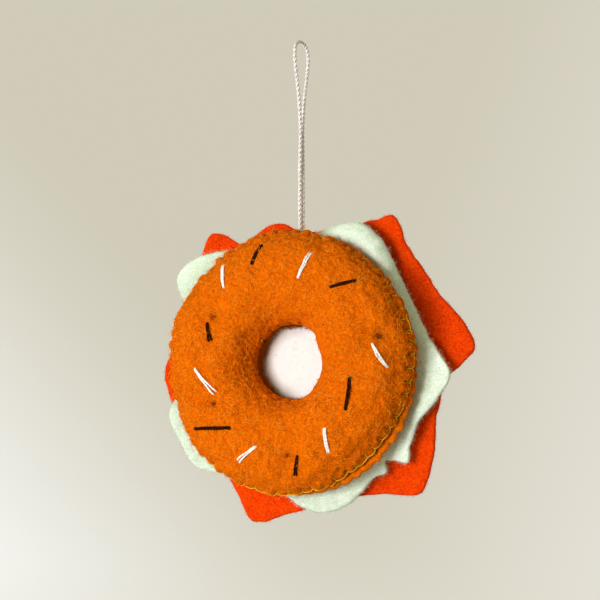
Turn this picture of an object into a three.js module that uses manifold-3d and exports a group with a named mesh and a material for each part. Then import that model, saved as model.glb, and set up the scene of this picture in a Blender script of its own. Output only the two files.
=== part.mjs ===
// A felt filled-bagel ornament on a hanging cord loop.
// Millimetres, +Z up, the face looks along -Y. The origin is the inside top of the loop,
// where it rests on a branch or hook.
import * as THREE from 'three';
import { mergeVertices } from 'three/addons/utils/BufferGeometryUtils.js';
import Module from 'manifold-3d';

const wasm = await Module();
wasm.setup();

// The two buns: each a crust felt and a crumb felt, sewn at both edges round a stuffing
const bunRadius = 45;
const holeRadius = 12.6;
const rimLip = 1.9;
const holeLip = 1.3;
const bunFelt = 1.5;
const frontCrustSwell = 9;
const frontCrumbSwell = 2.2;
const backCrustSwell = 6.2;
const backCrumbSwell = 3;

// The flat felts of the filling
const sheetFelt = 2;
const creamRadius = 38;
const lettuceReach = 50;
const lettuceAcross = 2.4;
const salmonReach = 55;
const salmonAcross = 1;
const rippleSpan = 14;
const rippleHeight = 2.4;
const salmonDroop = 1.6;

// Threads
const blanketThread = 0.6;
const rimStitchLength = 1.6;
const holeStitchLength = 1;
const seedThread = 1;
const tackThread = 0.8;
const tackBar = 2.6;
const tackDepth = 1.6;
const tackReach = 9;
const tackSlack = 0.35;

// The cord: a loop, a neck that bends where it enters the ornament, and a knotted tail
const cordDiameter = 1.3;
const loopHeight = 65;
const neckLength = 6;
const neckRise = 1;
const neckSpread = 1.28;
const knotRadius = 1.7;
const knotDrop = 5;
const bunAcross = -1.2;

// Fits between touching pieces
const clearance = 0.3;

// Counts
const rimStitches = 64;
const holeStitches = 20;
const rippleWaves = 5;
const ringSegments = 40;
const stuffingSegments = 36;
const arcSteps = 6;
const outlineSteps = 2;
const creamSides = 40;
const threadSides = 5;
const cordSides = 8;
const cordSteps = 42;
const seedSteps = 8;
const knotSides = 10;
const neckArcSteps = 3;

// Places of the sewn details on the face, as shares of the bun's radius: x1, z1, x2, z2
const whiteSeedShares = [
  [-0.49, 0.72, -0.465, 0.56],
  [0.235, 0.78, 0.15, 0.60],
  [0.73, 0.08, 0.84, -0.09],
  [-0.70, -0.055, -0.545, -0.235],
  [-0.19, -0.655, -0.345, -0.755],
  [0.365, -0.535, 0.38, -0.705],
];
const blackSeedShares = [
  [-0.175, 0.865, -0.23, 0.725],
  [0.41, 0.515, 0.595, 0.555],
  [-0.61, 0.29, -0.575, 0.16],
  [0.565, -0.16, 0.53, -0.395],
  [-0.72, -0.49, -0.44, -0.51],
  [0.13, -0.73, 0.10, -0.865],
];
const tackShares = [
  [0.77, 0.15],
  [-0.56, -0.32],
  [0.04, -0.72],
  [-0.56, 0.34],
];

// Outlines of the cut felts, anticlockwise from the right, as shares of their reach
const lettuceShares = [
  [1.06, -0.13], [1.03, -0.05], [0.89, 0.14], [0.78, 0.35], [0.67, 0.59], [0.60, 0.77],
  [0.52, 0.87], [0.42, 0.94], [0.29, 0.96], [0.14, 0.92], [0.02, 0.88], [-0.14, 0.86],
  [-0.34, 0.84], [-0.52, 0.80], [-0.66, 0.79], [-0.80, 0.76], [-0.92, 0.70], [-0.98, 0.62],
  [-0.94, 0.46], [-0.88, 0.28], [-0.86, 0.08], [-0.90, -0.10], [-0.98, -0.26], [-0.99, -0.44],
  [-0.93, -0.60], [-0.82, -0.69], [-0.64, -0.74], [-0.42, -0.80], [-0.18, -0.88], [0.00, -0.99],
  [0.13, -1.02], [0.26, -0.99], [0.38, -0.90], [0.47, -0.80], [0.57, -0.72], [0.66, -0.70],
  [0.75, -0.71], [0.76, -0.60], [0.81, -0.43], [0.90, -0.32], [1.00, -0.23],
];
const salmonShares = [
  [1.09, 0.06], [0.96, 0.28], [0.86, 0.39], [0.80, 0.49], [0.67, 0.71], [0.60, 0.90],
  [0.49, 0.91], [0.36, 0.89], [0.18, 0.86], [0.02, 0.84], [-0.09, 0.87], [-0.18, 0.91],
  [-0.28, 0.89], [-0.36, 0.84], [-0.46, 0.80], [-0.56, 0.86], [-0.66, 0.87], [-0.72, 0.78],
  [-0.78, 0.60], [-0.84, 0.38], [-0.94, 0.18], [-1.01, 0.00], [-0.96, -0.18], [-0.86, -0.36],
  [-0.74, -0.52], [-0.58, -0.66], [-0.48, -0.82], [-0.38, -0.97], [-0.26, -0.97], [-0.08, -0.91],
  [0.10, -0.86], [0.34, -0.83], [0.54, -0.82], [0.73, -0.82], [0.79, -0.73], [0.84, -0.54],
  [0.86, -0.30], [0.94, -0.11],
];
// How far out each ring of a felt's mesh lies, from the buns' grip to the outline
const ringShares = [0, 0.35, 0.7, 1];

// The loop's route up one leg, over the top and down the other
const cordRoute = [
  [-0.87, 0, -58.85], [-0.86, -0.06, -56], [-0.76, -0.42, -51], [-0.5, -0.72, -46],
  [-0.2, -0.85, -41], [0, -0.88, -36], [0, -0.98, -31], [0, -1.35, -26], [0, -2.1, -21],
  [0, -3.3, -16], [0, -4.7, -11], [0, -5.7, -7], [0, -5.9, -4], [0, -5.1, -1.5],
  [0, -2.9, 0.15], [0, 0, 0.65], [0, 2.9, 0.15], [0, 5.1, -1.5], [0, 5.9, -4],
  [0, 5.7, -7], [0, 4.7, -11], [0, 3.3, -16], [0, 2.1, -21], [0, 1.35, -26],
  [0, 0.98, -31], [0, 0.88, -36], [0.2, 0.85, -41], [0.5, 0.72, -46], [0.76, 0.42, -51],
  [0.86, 0.06, -56], [0.87, 0, -58.85],
];

// Worked out from the sizes above
const cordRadius = cordDiameter / 2;
const lipUnder = clearance / 2;
const lipTop = lipUnder + bunFelt;
const ringInside = holeRadius + holeLip;
const ringOutside = bunRadius - rimLip;
const ringMiddle = (ringInside + ringOutside) / 2;
const ringHalf = (ringOutside - ringInside) / 2;
const creamFront = cordRadius - sheetFelt;
const lettuceFront = cordRadius + clearance;
const salmonFront = lettuceFront + sheetFelt + clearance;
const frontSeam = creamFront - clearance - frontCrumbSwell - lipTop;
const backSeam = salmonFront + sheetFelt + clearance + backCrumbSwell + lipTop;
const pivotAboveBun = bunRadius + neckRise;

const felt = (color) => new THREE.MeshStandardMaterial({ color, roughness: 0.95, metalness: 0 });
const crustFelt = felt('#e06a0c');
const creamFelt = felt('#faf7f2');
const lettuceFelt = felt('#dcebd6');
const salmonFelt = felt('#ee3a06');
const fill = felt('#f1efe9');
const goldThread = felt('#c98a14');
const whiteThread = felt('#f6f2ee');
const blackThread = felt('#2a1b15');
const whiteCord = felt('#e9e4e2');

// Merges shared corners, drops flat slivers and turns the faces outwards
function welded(geometry) {
  const bare = geometry.clone();
  bare.deleteAttribute('normal');
  bare.deleteAttribute('uv');
  const merged = mergeVertices(bare);
  const place = merged.attributes.position;
  const corners = [0, 1, 2].map(() => new THREE.Vector3());
  const kept = [];
  let sixVolumes = 0;
  for (let i = 0; i < merged.index.count; i += 3) {
    const ids = [0, 1, 2].map((k) => merged.index.getX(i + k));
    if (new Set(ids).size === 3) {
      ids.forEach((id, k) => corners[k].fromBufferAttribute(place, id));
      sixVolumes += corners[0].dot(corners[1].clone().cross(corners[2]));
      kept.push(ids);
    }
  }
  merged.setIndex(kept.flatMap((ids) => (sixVolumes < 0 ? ids.reverse() : ids)));
  return merged;
}

function solidOf(geometry) {
  const whole = welded(geometry);
  return new wasm.Manifold(new wasm.Mesh({
    numProp: 3,
    vertProperties: Float32Array.from(whole.attributes.position.array),
    triVerts: Uint32Array.from(whole.index.array),
  }));
}

function geometryOf(solid) {
  const mesh = solid.getMesh();
  const geometry = new THREE.BufferGeometry();
  geometry.setAttribute('position', new THREE.Float32BufferAttribute(mesh.vertProperties, 3));
  geometry.setIndex(Array.from(mesh.triVerts));
  return geometry;
}

function piece(name, geometry, material) {
  const whole = welded(geometry);
  whole.computeVertexNormals();
  const mesh = new THREE.Mesh(whole, material);
  mesh.name = name;
  return mesh;
}

const ringPoint = (radius, turn) => new THREE.Vector2(radius * Math.cos(turn), radius * Math.sin(turn));

function roundOutline(radius, sides) {
  return new THREE.Shape(Array.from({ length: sides }, (_, i) => ringPoint(radius, 2 * Math.PI * i / sides)));
}

// A tube along points, with closed flat ends
function tube(points, radius, sides, steps) {
  const path = new THREE.CatmullRomCurve3(points.map((p) => new THREE.Vector3(...p)), false, 'centripetal');
  return new THREE.ExtrudeGeometry(roundOutline(radius, sides), { steps, bevelEnabled: false, extrudePath: path });
}

// A flat piece whose outline lies in X and Z, with its front face at frontY
function slab(shape, thickness, frontY) {
  const geometry = new THREE.ExtrudeGeometry(shape, { depth: thickness, bevelEnabled: false });
  geometry.rotateX(Math.PI / 2);
  geometry.translate(0, frontY + thickness, 0);
  return geometry;
}

// How far the tacks pull a felt in at a place on the face. out is its distance from the seam
// before that, and top the swelling's own.
function sunkAt(x, z, out, top) {
  const share = Math.min(1, Math.max(0, out - lipUnder) / (top - lipUnder));
  return tackShares.reduce((depth, [tackX, tackZ]) => {
    const away = Math.hypot(x - tackX * bunRadius, z - tackZ * bunRadius) / tackReach;
    return depth + (away < 1 ? share * tackDepth * (1 - away * away) ** 2 : 0);
  }, 0);
}

// Half an ellipse over the stuffed ring, from the hole to the rim
function ringArc(half, swell, base) {
  return Array.from({ length: arcSteps + 1 }, (_, i) => {
    const turn = Math.PI * i / arcSteps;
    return [ringMiddle - half * Math.cos(turn), base + swell * Math.sin(turn)];
  });
}

// Turns a profile of radius and distance from the seam about the bun's axis. side is -1 where
// the distance runs towards the face and 1 where it runs to the back.
function turned(profile, segments, seam, side, tacked) {
  const points = profile.map(([radius, out]) => new THREE.Vector2(radius, out));
  const geometry = new THREE.LatheGeometry(points, segments);
  const place = geometry.attributes.position;
  const top = Math.max(...profile.map(([, out]) => out));
  const bottom = Math.max(...profile.map(([, out]) => -out));
  for (let i = 0; i < place.count; i += 1) {
    const out = place.getY(i);
    const swell = out > 0 ? top : bottom;
    const sunk = tacked ? Math.sign(out) * sunkAt(place.getX(i), place.getZ(i), Math.abs(out), swell) : 0;
    place.setY(i, seam + side * (out - sunk));
  }
  return geometry;
}

// A felt ring with flat sewn lips and a swelling between them
function feltShell(swell, seam, side, tacked) {
  const inner = ringArc(ringHalf - bunFelt, swell, lipUnder).reverse();
  const profile = [
    [holeRadius, lipUnder], [holeRadius, lipTop],
    ...ringArc(ringHalf, swell, lipTop),
    [bunRadius, lipTop], [bunRadius, lipUnder],
    ...inner, [holeRadius, lipUnder],
  ];
  return turned(profile, ringSegments, seam, side, tacked);
}

function stuffingRing(crustSwell, crumbSwell, seam, side, tacked) {
  const half = ringHalf - bunFelt - clearance;
  const crustArc = ringArc(half, crustSwell - lipUnder, 0);
  const crumbArc = ringArc(half, lipUnder - crumbSwell, 0).reverse();
  const profile = [...crustArc, ...crumbArc.slice(1)];
  return turned(profile, stuffingSegments, seam, side, tacked);
}

// Distance from the seam of a swelling of this half width, over base, at a place on the ring
function outAt(x, z, half, swell, base) {
  const across = Math.min(1, Math.abs(Math.hypot(x, z) - ringMiddle) / half);
  const out = base + swell * Math.sqrt(1 - across * across);
  return out - sunkAt(x, z, out, lipTop + swell);
}
const outerFace = (x, z, swell) => outAt(x, z, ringHalf, swell, lipTop);
const innerFace = (x, z, swell) => outAt(x, z, ringHalf - bunFelt, swell, lipUnder);

// A row of blanket stitches: the edge thread with one leg per stitch over the lip
function blanketStitch(edgeRadius, tipRadius, stitches, lipFace, side) {
  const outwards = edgeRadius > tipRadius;
  const near = outwards ? edgeRadius + clearance : edgeRadius - clearance;
  const far = outwards ? near + blanketThread : near - blanketThread;
  const legHalf = blanketThread / 2;
  const toothed = [];
  const plain = [];
  for (let i = 0; i < stitches; i += 1) {
    const turn = 2 * Math.PI * i / stitches;
    toothed.push(ringPoint(near, turn - legHalf / near), ringPoint(tipRadius, turn - legHalf / tipRadius));
    toothed.push(ringPoint(tipRadius, turn + legHalf / tipRadius), ringPoint(near, turn + legHalf / near));
    plain.push(ringPoint(far, turn));
  }
  const shape = new THREE.Shape(outwards ? plain : toothed);
  shape.holes.push(new THREE.Path(outwards ? toothed : plain));
  const frontY = side < 0 ? lipFace - clearance - blanketThread : lipFace + clearance;
  return slab(shape, blanketThread, frontY);
}

// A straight stitch over the crust, with a leg down each needle hole
function seedStitch([x1, z1, x2, z2]) {
  const radius = seedThread / 2;
  const over = clearance + radius;
  const point = (share, lift) => {
    const x = bunRadius * THREE.MathUtils.lerp(x1, x2, share);
    const z = bunRadius * THREE.MathUtils.lerp(z1, z2, share);
    const out = lift === null ? innerFace(x, z, frontCrustSwell) + radius : outerFace(x, z, frontCrustSwell) + lift;
    return [x, frontSeam - out, z];
  };
  const overShares = [0.1, 0.3, 0.5, 0.7, 0.9];
  const top = overShares.map((share) => point(share, over));
  return tube([point(0, null), point(0, 0), ...top, point(1, 0), point(1, null)], radius, threadSides, seedSteps);
}

// A straight bore along the bun's axis, between two distances in front of the seam
function needleHole(x, z, radius, from, to) {
  const outline = roundOutline(radius, threadSides);
  const bore = slab(outline, to - from, frontSeam - to);
  bore.translate(x, 0, z);
  return solidOf(bore);
}

function seedHoles([x1, z1, x2, z2]) {
  const radius = seedThread / 2 + clearance;
  const top = lipTop + frontCrustSwell + clearance;
  return [[x1, z1], [x2, z2]].map(([x, z]) => needleHole(x * bunRadius, z * bunRadius, radius, lipTop, top));
}

function tackHole([x, z]) {
  const front = lipTop + frontCrustSwell + clearance;
  const back = -lipTop - frontCrumbSwell - clearance;
  return needleHole(x * bunRadius, z * bunRadius, tackThread / 2 + clearance, back, front);
}

// A stitch right through the front bun, with a short bar on each face
function tackStitch([shareX, shareZ]) {
  const [x, z] = [shareX * bunRadius, shareZ * bunRadius];
  const radius = tackThread / 2;
  const lift = clearance + radius + tackSlack;
  const front = frontSeam - outerFace(x, z, frontCrustSwell) - lift;
  const back = frontSeam + outerFace(x, z, frontCrumbSwell) + lift;
  const shareHalf = tackBar / 2 / Math.hypot(x, z);
  const shank = tube([[x, front, z], [x, (front + back) / 2, z], [x, back, z]], radius, threadSides, 1);
  const bar = (y) => {
    const [alongX, alongZ] = [-z * shareHalf, x * shareHalf];
    return tube([[x - alongX, y, z - alongZ], [x, y, z], [x + alongX, y, z + alongZ]], radius, threadSides, 1);
  };
  return solidOf(shank).add(solidOf(bar(front))).add(solidOf(bar(back)));
}

// How far back the filling felts ripple outside the cream cheese
function rippleAt(x, z, droop) {
  const growth = THREE.MathUtils.smoothstep(Math.hypot(x, z), creamRadius, creamRadius + rippleSpan);
  return growth * (droop + rippleHeight * Math.sin(rippleWaves * Math.atan2(z, x)));
}

// A cut felt with a free outline, flat in the middle and rippled round its edge
function rippledFelt(shares, reach, across, frontY, droop) {
  const knots = shares.map(([x, z]) => new THREE.Vector3(across + x * reach, 0, z * reach));
  const curve = new THREE.CatmullRomCurve3(knots, true, 'centripetal');
  const edge = curve.getPoints(outlineSteps * knots.length).slice(0, -1);
  const corners = [];
  const faces = [];
  const count = edge.length;
  const side = ringShares.length * count + 1;
  for (const depth of [0, sheetFelt]) {
    corners.push(0, frontY + depth, 0);
    for (const share of ringShares) {
      for (const { x, z } of edge) {
        const scale = THREE.MathUtils.lerp(creamRadius / Math.hypot(x, z), 1, share);
        corners.push(x * scale, frontY + depth + rippleAt(x * scale, z * scale, droop), z * scale);
      }
    }
  }
  const id = (face, ring, i) => face * side + 1 + ring * count + (i % count);
  const last = ringShares.length - 1;
  for (let i = 0; i < count; i += 1) {
    faces.push(0, id(0, 0, i), id(0, 0, i + 1));
    faces.push(side, id(1, 0, i + 1), id(1, 0, i));
    for (let ring = 0; ring < last; ring += 1) {
      faces.push(id(0, ring, i), id(0, ring + 1, i), id(0, ring + 1, i + 1));
      faces.push(id(0, ring, i), id(0, ring + 1, i + 1), id(0, ring, i + 1));
      faces.push(id(1, ring, i), id(1, ring + 1, i + 1), id(1, ring + 1, i));
      faces.push(id(1, ring, i), id(1, ring, i + 1), id(1, ring + 1, i + 1));
    }
    faces.push(id(0, last, i), id(1, last, i), id(1, last, i + 1));
    faces.push(id(0, last, i), id(1, last, i + 1), id(0, last, i + 1));
  }
  const geometry = new THREE.BufferGeometry();
  geometry.setAttribute('position', new THREE.Float32BufferAttribute(corners, 3));
  geometry.setIndex(faces);
  return geometry;
}

// One strand of the neck, round at the end that swings
function neckStrand(x) {
  const profile = [new THREE.Vector2(0, -cordRadius)];
  for (let i = 1; i <= neckArcSteps; i += 1) {
    const turn = Math.PI / 2 * (i / neckArcSteps - 1);
    profile.push(new THREE.Vector2(cordRadius * Math.cos(turn), cordRadius * Math.sin(turn)));
  }
  const top = neckLength - clearance / 2;
  profile.push(new THREE.Vector2(cordRadius, top), new THREE.Vector2(0, top));
  const strand = new THREE.LatheGeometry(profile, cordSides);
  strand.rotateX(Math.PI / 2);
  strand.translate(x, 0, -loopHeight);
  return strand;
}

function cordNeck() {
  return geometryOf(solidOf(neckStrand(-neckSpread / 2)).add(solidOf(neckStrand(neckSpread / 2))));
}

// The two ends below the neck, joined by the knot that holds them in the seam
function cordTail() {
  const top = -loopHeight - cordRadius - clearance;
  const knotZ = -loopHeight - knotDrop;
  const knotDepth = knotRadius - cordRadius / 2;
  const knotY = lettuceFront - clearance - knotDepth;
  const knot = new THREE.SphereGeometry(knotRadius, knotSides, knotSides / 2);
  knot.scale(1, knotDepth / knotRadius, 1);
  knot.translate(0, knotY, knotZ);
  const strand = (x) => tube([[x, 0, top], [x, knotY / 2, (top + knotZ) / 2], [x, knotY, knotZ]], cordRadius, cordSides, 3);
  const ends = solidOf(strand(-neckSpread / 2)).add(solidOf(strand(neckSpread / 2)));
  return geometryOf(ends.add(solidOf(knot)));
}

function frontBun() {
  let crust = solidOf(feltShell(frontCrustSwell, frontSeam, -1, true));
  let crumb = solidOf(feltShell(frontCrumbSwell, frontSeam, 1, true));
  let stuffing = solidOf(stuffingRing(frontCrustSwell, frontCrumbSwell, frontSeam, -1, true));
  for (const hole of [...whiteSeedShares, ...blackSeedShares].flatMap(seedHoles)) {
    crust = crust.subtract(hole);
  }
  for (const hole of tackShares.map(tackHole)) {
    crust = crust.subtract(hole);
    crumb = crumb.subtract(hole);
    stuffing = stuffing.subtract(hole);
  }
  const lipFace = frontSeam - lipTop;
  return [
    piece('front_crust', geometryOf(crust), crustFelt),
    piece('front_crumb', geometryOf(crumb), crustFelt),
    piece('front_stuffing', geometryOf(stuffing), fill),
    piece('front_rim_thread', blanketStitch(bunRadius, bunRadius - rimStitchLength, rimStitches, lipFace, -1), goldThread),
    piece('front_hole_thread', blanketStitch(holeRadius, holeRadius + holeStitchLength, holeStitches, lipFace, -1), goldThread),
  ];
}

function backBun() {
  const lipFace = backSeam + lipTop;
  return [
    piece('back_crumb', feltShell(backCrumbSwell, backSeam, -1, false), crustFelt),
    piece('back_stuffing', stuffingRing(backCrustSwell, backCrumbSwell, backSeam, 1, false), fill),
    piece('back_crust', feltShell(backCrustSwell, backSeam, 1, false), crustFelt),
    piece('back_rim_thread', blanketStitch(bunRadius, bunRadius - rimStitchLength, rimStitches, lipFace, 1), goldThread),
    piece('back_hole_thread', blanketStitch(holeRadius, holeRadius + holeStitchLength, holeStitches, lipFace, 1), goldThread),
  ];
}

function filling() {
  return [
    piece('cream_cheese', slab(roundOutline(creamRadius, creamSides), sheetFelt, creamFront), creamFelt),
    piece('lettuce', rippledFelt(lettuceShares, lettuceReach, lettuceAcross, lettuceFront, 0), lettuceFelt),
    piece('salmon', rippledFelt(salmonShares, salmonReach, salmonAcross, salmonFront, salmonDroop), salmonFelt),
  ];
}

function seedsAndTacks() {
  return [
    ...whiteSeedShares.map((place, i) => piece(`white_seed_${i + 1}`, seedStitch(place), whiteThread)),
    ...blackSeedShares.map((place, i) => piece(`black_seed_${i + 1}`, seedStitch(place), blackThread)),
    ...tackShares.map((place, i) => piece(`tack_thread_${i + 1}`, geometryOf(tackStitch(place)), goldThread)),
  ];
}

const bagel = new THREE.Group();
bagel.position.set(bunAcross, 0, -loopHeight - pivotAboveBun);
bagel.add(...frontBun(), ...filling(), ...backBun(), ...seedsAndTacks());

const group = new THREE.Group();
group.add(
  piece('hanging_cord', tube(cordRoute, cordRadius, cordSides, cordSteps), whiteCord),
  piece('cord_neck', cordNeck(), whiteCord),
  piece('cord_tail', cordTail(), whiteCord),
  bagel,
);

export default group;
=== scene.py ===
import math

import bpy
import numpy as np
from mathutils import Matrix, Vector


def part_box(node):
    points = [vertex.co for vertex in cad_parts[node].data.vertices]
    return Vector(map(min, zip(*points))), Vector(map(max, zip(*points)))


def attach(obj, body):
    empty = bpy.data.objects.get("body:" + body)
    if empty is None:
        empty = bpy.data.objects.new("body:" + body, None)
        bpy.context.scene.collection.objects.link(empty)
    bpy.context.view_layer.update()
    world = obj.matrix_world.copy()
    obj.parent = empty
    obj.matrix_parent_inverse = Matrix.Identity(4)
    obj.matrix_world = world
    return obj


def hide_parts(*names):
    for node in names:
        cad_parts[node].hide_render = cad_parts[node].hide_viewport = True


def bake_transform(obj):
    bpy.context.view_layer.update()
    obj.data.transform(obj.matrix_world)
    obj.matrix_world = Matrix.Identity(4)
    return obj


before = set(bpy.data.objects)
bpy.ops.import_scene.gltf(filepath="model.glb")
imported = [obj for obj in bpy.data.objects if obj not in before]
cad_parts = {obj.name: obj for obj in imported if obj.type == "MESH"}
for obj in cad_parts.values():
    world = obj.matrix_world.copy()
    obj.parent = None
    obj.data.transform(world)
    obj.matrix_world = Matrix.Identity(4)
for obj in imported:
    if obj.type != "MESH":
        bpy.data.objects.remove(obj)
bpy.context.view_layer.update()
scene = bpy.context.scene
fullTurn = 2 * math.pi

# The roll's own place: its axis runs along Y through this point, and turns are counted from +X to +Z
crustLow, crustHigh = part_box("front_crust")
rollX, rollZ = (crustLow.x + crustHigh.x) / 2, (crustLow.z + crustHigh.z) / 2
print("frame loaded,", len(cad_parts), "nodes")


# Camera at the photo's angle, a little below the roll and to its right
cameraSetup = {
    "azimuth": 23, "elevation": -7, "distance": 0.75, "lens": 132.5, "clip": 0.01,
    "aimY": -0.0055, "aimAcross": 0.002717, "aimUp": 0.02072,
}


def awayFrom(azimuth, elevation):
    # The direction in which a camera or lamp stands, seen from the roll
    turn, rise = math.radians(azimuth), math.radians(elevation)
    return Vector((math.sin(turn) * math.cos(rise), -math.cos(turn) * math.cos(rise), math.sin(rise)))


def standOff(name, data, aim, away, distance):
    # A camera or lamp that looks back at its aim
    thing = bpy.data.objects.new(name, data)
    thing.location = aim + away * distance
    thing.rotation_euler = (-away).to_track_quat("-Z", "Y").to_euler()
    scene.collection.objects.link(thing)
    return thing


def makeCamera():
    turn = math.radians(cameraSetup["azimuth"])
    across = Vector((math.cos(turn), math.sin(turn), 0))
    away = awayFrom(cameraSetup["azimuth"], cameraSetup["elevation"])
    aim = Vector((rollX, cameraSetup["aimY"], rollZ))
    aim += across * cameraSetup["aimAcross"] + away.cross(across) * cameraSetup["aimUp"]
    data = bpy.data.cameras.new("Camera")
    data.lens, data.clip_start = cameraSetup["lens"], cameraSetup["clip"]
    scene.camera = standOff("Camera", data, aim, away, cameraSetup["distance"])


makeCamera()
scene.view_settings.view_transform = "Standard"


# Helpers for shapes

def smoothStep(low, high, value):
    share = np.clip((value - low) / (high - low), 0, 1)
    return share * share * (3 - 2 * share)


def bell(away, half):
    return np.exp(-(away / half) ** 2)


def evenTurns(count):
    return np.linspace(0, fullTurn, count, endpoint=False)


def unit(ways):
    return ways / np.linalg.norm(ways, axis=-1, keepdims=True)


def bumps(points, size, seed, waves=16):
    # A smooth random field of about unit height, with bumps about this size across
    draw = np.random.default_rng(seed)
    ways = unit(draw.normal(size=(waves, 3)))
    pace = fullTurn / (size * draw.uniform(0.7, 1.5, waves))
    starts = draw.uniform(0, fullTurn, waves)
    return np.cos(points @ (ways * pace[:, None]).T + starts).sum(axis=-1) / math.sqrt(waves / 2)


def lengthsAlong(line):
    return np.concatenate([[0], np.cumsum(np.linalg.norm(np.diff(line, axis=0), axis=1))])


def curveThrough(points, step):
    # A smooth line through the points, with points about step apart
    knots = np.array(points, float)
    padded = np.vstack([2 * knots[0] - knots[1], knots, 2 * knots[-1] - knots[-2]])
    share = np.linspace(0, 1, 24, endpoint=False)[:, None]
    parts = []
    for a, b, c, d in zip(padded, padded[1:], padded[2:], padded[3:]):
        parts.append(0.5 * (2 * b + (c - a) * share + (2 * a - 5 * b + 4 * c - d) * share**2
                            + (3 * b - a - 3 * c + d) * share**3))
    return evenly(np.vstack([*parts, knots[-1:]]), step)


def evenly(line, step):
    along = lengthsAlong(line)
    at = np.linspace(0, along[-1], max(2, round(along[-1] / step) + 1))
    return np.stack([np.interp(at, along, line[:, k]) for k in range(line.shape[1])], axis=1)


def gridFaces(rows, columns, closeRows, closeColumns):
    # Quads over a grid of points counted row by row
    index = np.arange(rows * columns).reshape(rows, columns)
    if closeRows:
        index = np.vstack([index, index[:1]])
    if closeColumns:
        index = np.hstack([index, index[:, :1]])
    a, b, c, d = index[:-1, :-1], index[1:, :-1], index[1:, 1:], index[:-1, 1:]
    return np.stack([a, b, c, d], axis=-1).reshape(-1, 4).tolist()


def makeMesh(name, points, edges, faces, marks):
    # Marks are named numbers or directions, one for each point
    mesh = bpy.data.meshes.new(name)
    mesh.from_pydata(np.asarray(points, float).reshape(-1, 3).tolist(), edges, faces)
    if faces:
        mesh.validate()
    for mark, values in marks.items():
        values = np.asarray(values, np.float32).ravel()
        isWay = len(values) > len(mesh.vertices)
        layer = mesh.attributes.new(mark, "FLOAT_VECTOR" if isWay else "FLOAT", "POINT")
        layer.data.foreach_set("vector" if isWay else "value", values)
    return mesh


def guideMesh(lines, closed=False, marks=()):
    # Bare lines for a node tree to work on
    edges, first = [], 0
    for line in lines:
        index = list(range(first, first + len(line)))
        edges += list(zip(index, index[1:] + index[:1] if closed else index[1:]))
        first += len(line)
    return makeMesh("guide", np.vstack(lines), edges, [], dict(marks))


def asPiece(name, mesh):
    mesh.name = name
    mesh.shade_smooth()
    piece = bpy.data.objects.new(name, mesh)
    scene.collection.objects.link(piece)
    return piece


def meshPiece(name, points, faces, material, marks=()):
    mesh = makeMesh(name, points, [], faces, dict(marks))
    mesh.materials.append(material)
    faceOutwards(mesh)
    return asPiece(name, mesh)


def faceOutwards(mesh):
    # Turns a closed mesh the right way out, by the sign of its volume
    mesh.calc_loop_triangles()
    corners = np.zeros(len(mesh.loop_triangles) * 3, np.int32)
    mesh.loop_triangles.foreach_get("vertices", corners)
    places = np.zeros(len(mesh.vertices) * 3)
    mesh.vertices.foreach_get("co", places)
    a, b, c = (places.reshape(-1, 3)[corners.reshape(-1, 3)[:, k]] for k in range(3))
    if (a * np.cross(b, c)).sum() < 0:
        mesh.flip_normals()


def settle(piece, body, slot, *nodes):
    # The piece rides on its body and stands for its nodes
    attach(piece, body)
    if nodes:
        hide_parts(*nodes)


# Helpers for node trees

def addNode(tree, kind, inputs=None, **settings):
    # Inputs are sockets to link from, or constants
    node = tree.nodes.new(kind)
    for key, value in settings.items():
        setattr(node, key, value)
    for key, value in (inputs or {}).items():
        if isinstance(value, bpy.types.NodeSocket):
            tree.links.new(value, node.inputs[key])
        else:
            node.inputs[key].default_value = value
    return node


def outOf(tree, kind, inputs=None, **settings):
    return addNode(tree, kind, inputs, **settings).outputs[0]


def newTree(name, kind, inputs, outputs):
    # Each input is given as its default value or its kind of socket
    tree = bpy.data.node_groups.new(name, kind)
    for label, value in inputs.items():
        fixed = not isinstance(value, str)
        socketType = type(value).__name__.capitalize() if fixed else value
        socket = tree.interface.new_socket(label, in_out="INPUT", socket_type="NodeSocket" + socketType)
        if fixed:
            socket.default_value = value
    for label, socketType in outputs.items():
        tree.interface.new_socket(label, in_out="OUTPUT", socket_type="NodeSocket" + socketType)
    return tree, tree.nodes.new("NodeGroupInput").outputs, tree.nodes.new("NodeGroupOutput").inputs


def mathNode(tree, operation, *values):
    return outOf(tree, "ShaderNodeMath", dict(enumerate(values)), operation=operation)


def times(tree, first, second):
    return mathNode(tree, "MULTIPLY", first, second)


def vectorNode(tree, operation, first, second):
    key = "Scale" if operation == "SCALE" else 1
    return outOf(tree, "ShaderNodeVectorMath", {0: first, key: second}, operation=operation)


def noiseNode(tree, place, scale, detail, roughness=0.5):
    return addNode(tree, "ShaderNodeTexNoise", {
        "Vector": place, "Scale": scale, "Detail": detail, "Roughness": roughness}).outputs


def rangeNode(tree, value, low, high, start=0.0, end=1.0, **settings):
    return outOf(tree, "ShaderNodeMapRange", {
        "Value": value, "From Min": low, "From Max": high, "To Min": start, "To Max": end}, **settings)


def mixed(tree, factor, first, second):
    first, second = (v if isinstance(v, bpy.types.NodeSocket) else (*v, 1) for v in (first, second))
    return addNode(tree, "ShaderNodeMix", {0: factor, 6: first, 7: second}, data_type="RGBA").outputs[2]


def grown(name, source, tree, values):
    # What the tree makes of the source mesh, as a plain mesh piece
    holder = bpy.data.objects.new(name + "_guide", source)
    scene.collection.objects.link(holder)
    modifier = holder.modifiers.new("grow", "NODES")
    modifier.node_group = tree
    for item in tree.interface.items_tree:
        if item.item_type == "SOCKET" and item.in_out == "INPUT" and item.name in values:
            modifier[item.identifier] = values[item.name]
    mesh = bpy.data.meshes.new_from_object(holder.evaluated_get(bpy.context.evaluated_depsgraph_get()))
    holder.modifiers.remove(modifier)
    bpy.data.objects.remove(holder)
    return asPiece(name, mesh)


# Finishes. The first group gives matted wool: soft blotches, fine curled fibres, specks and their relief.

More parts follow.
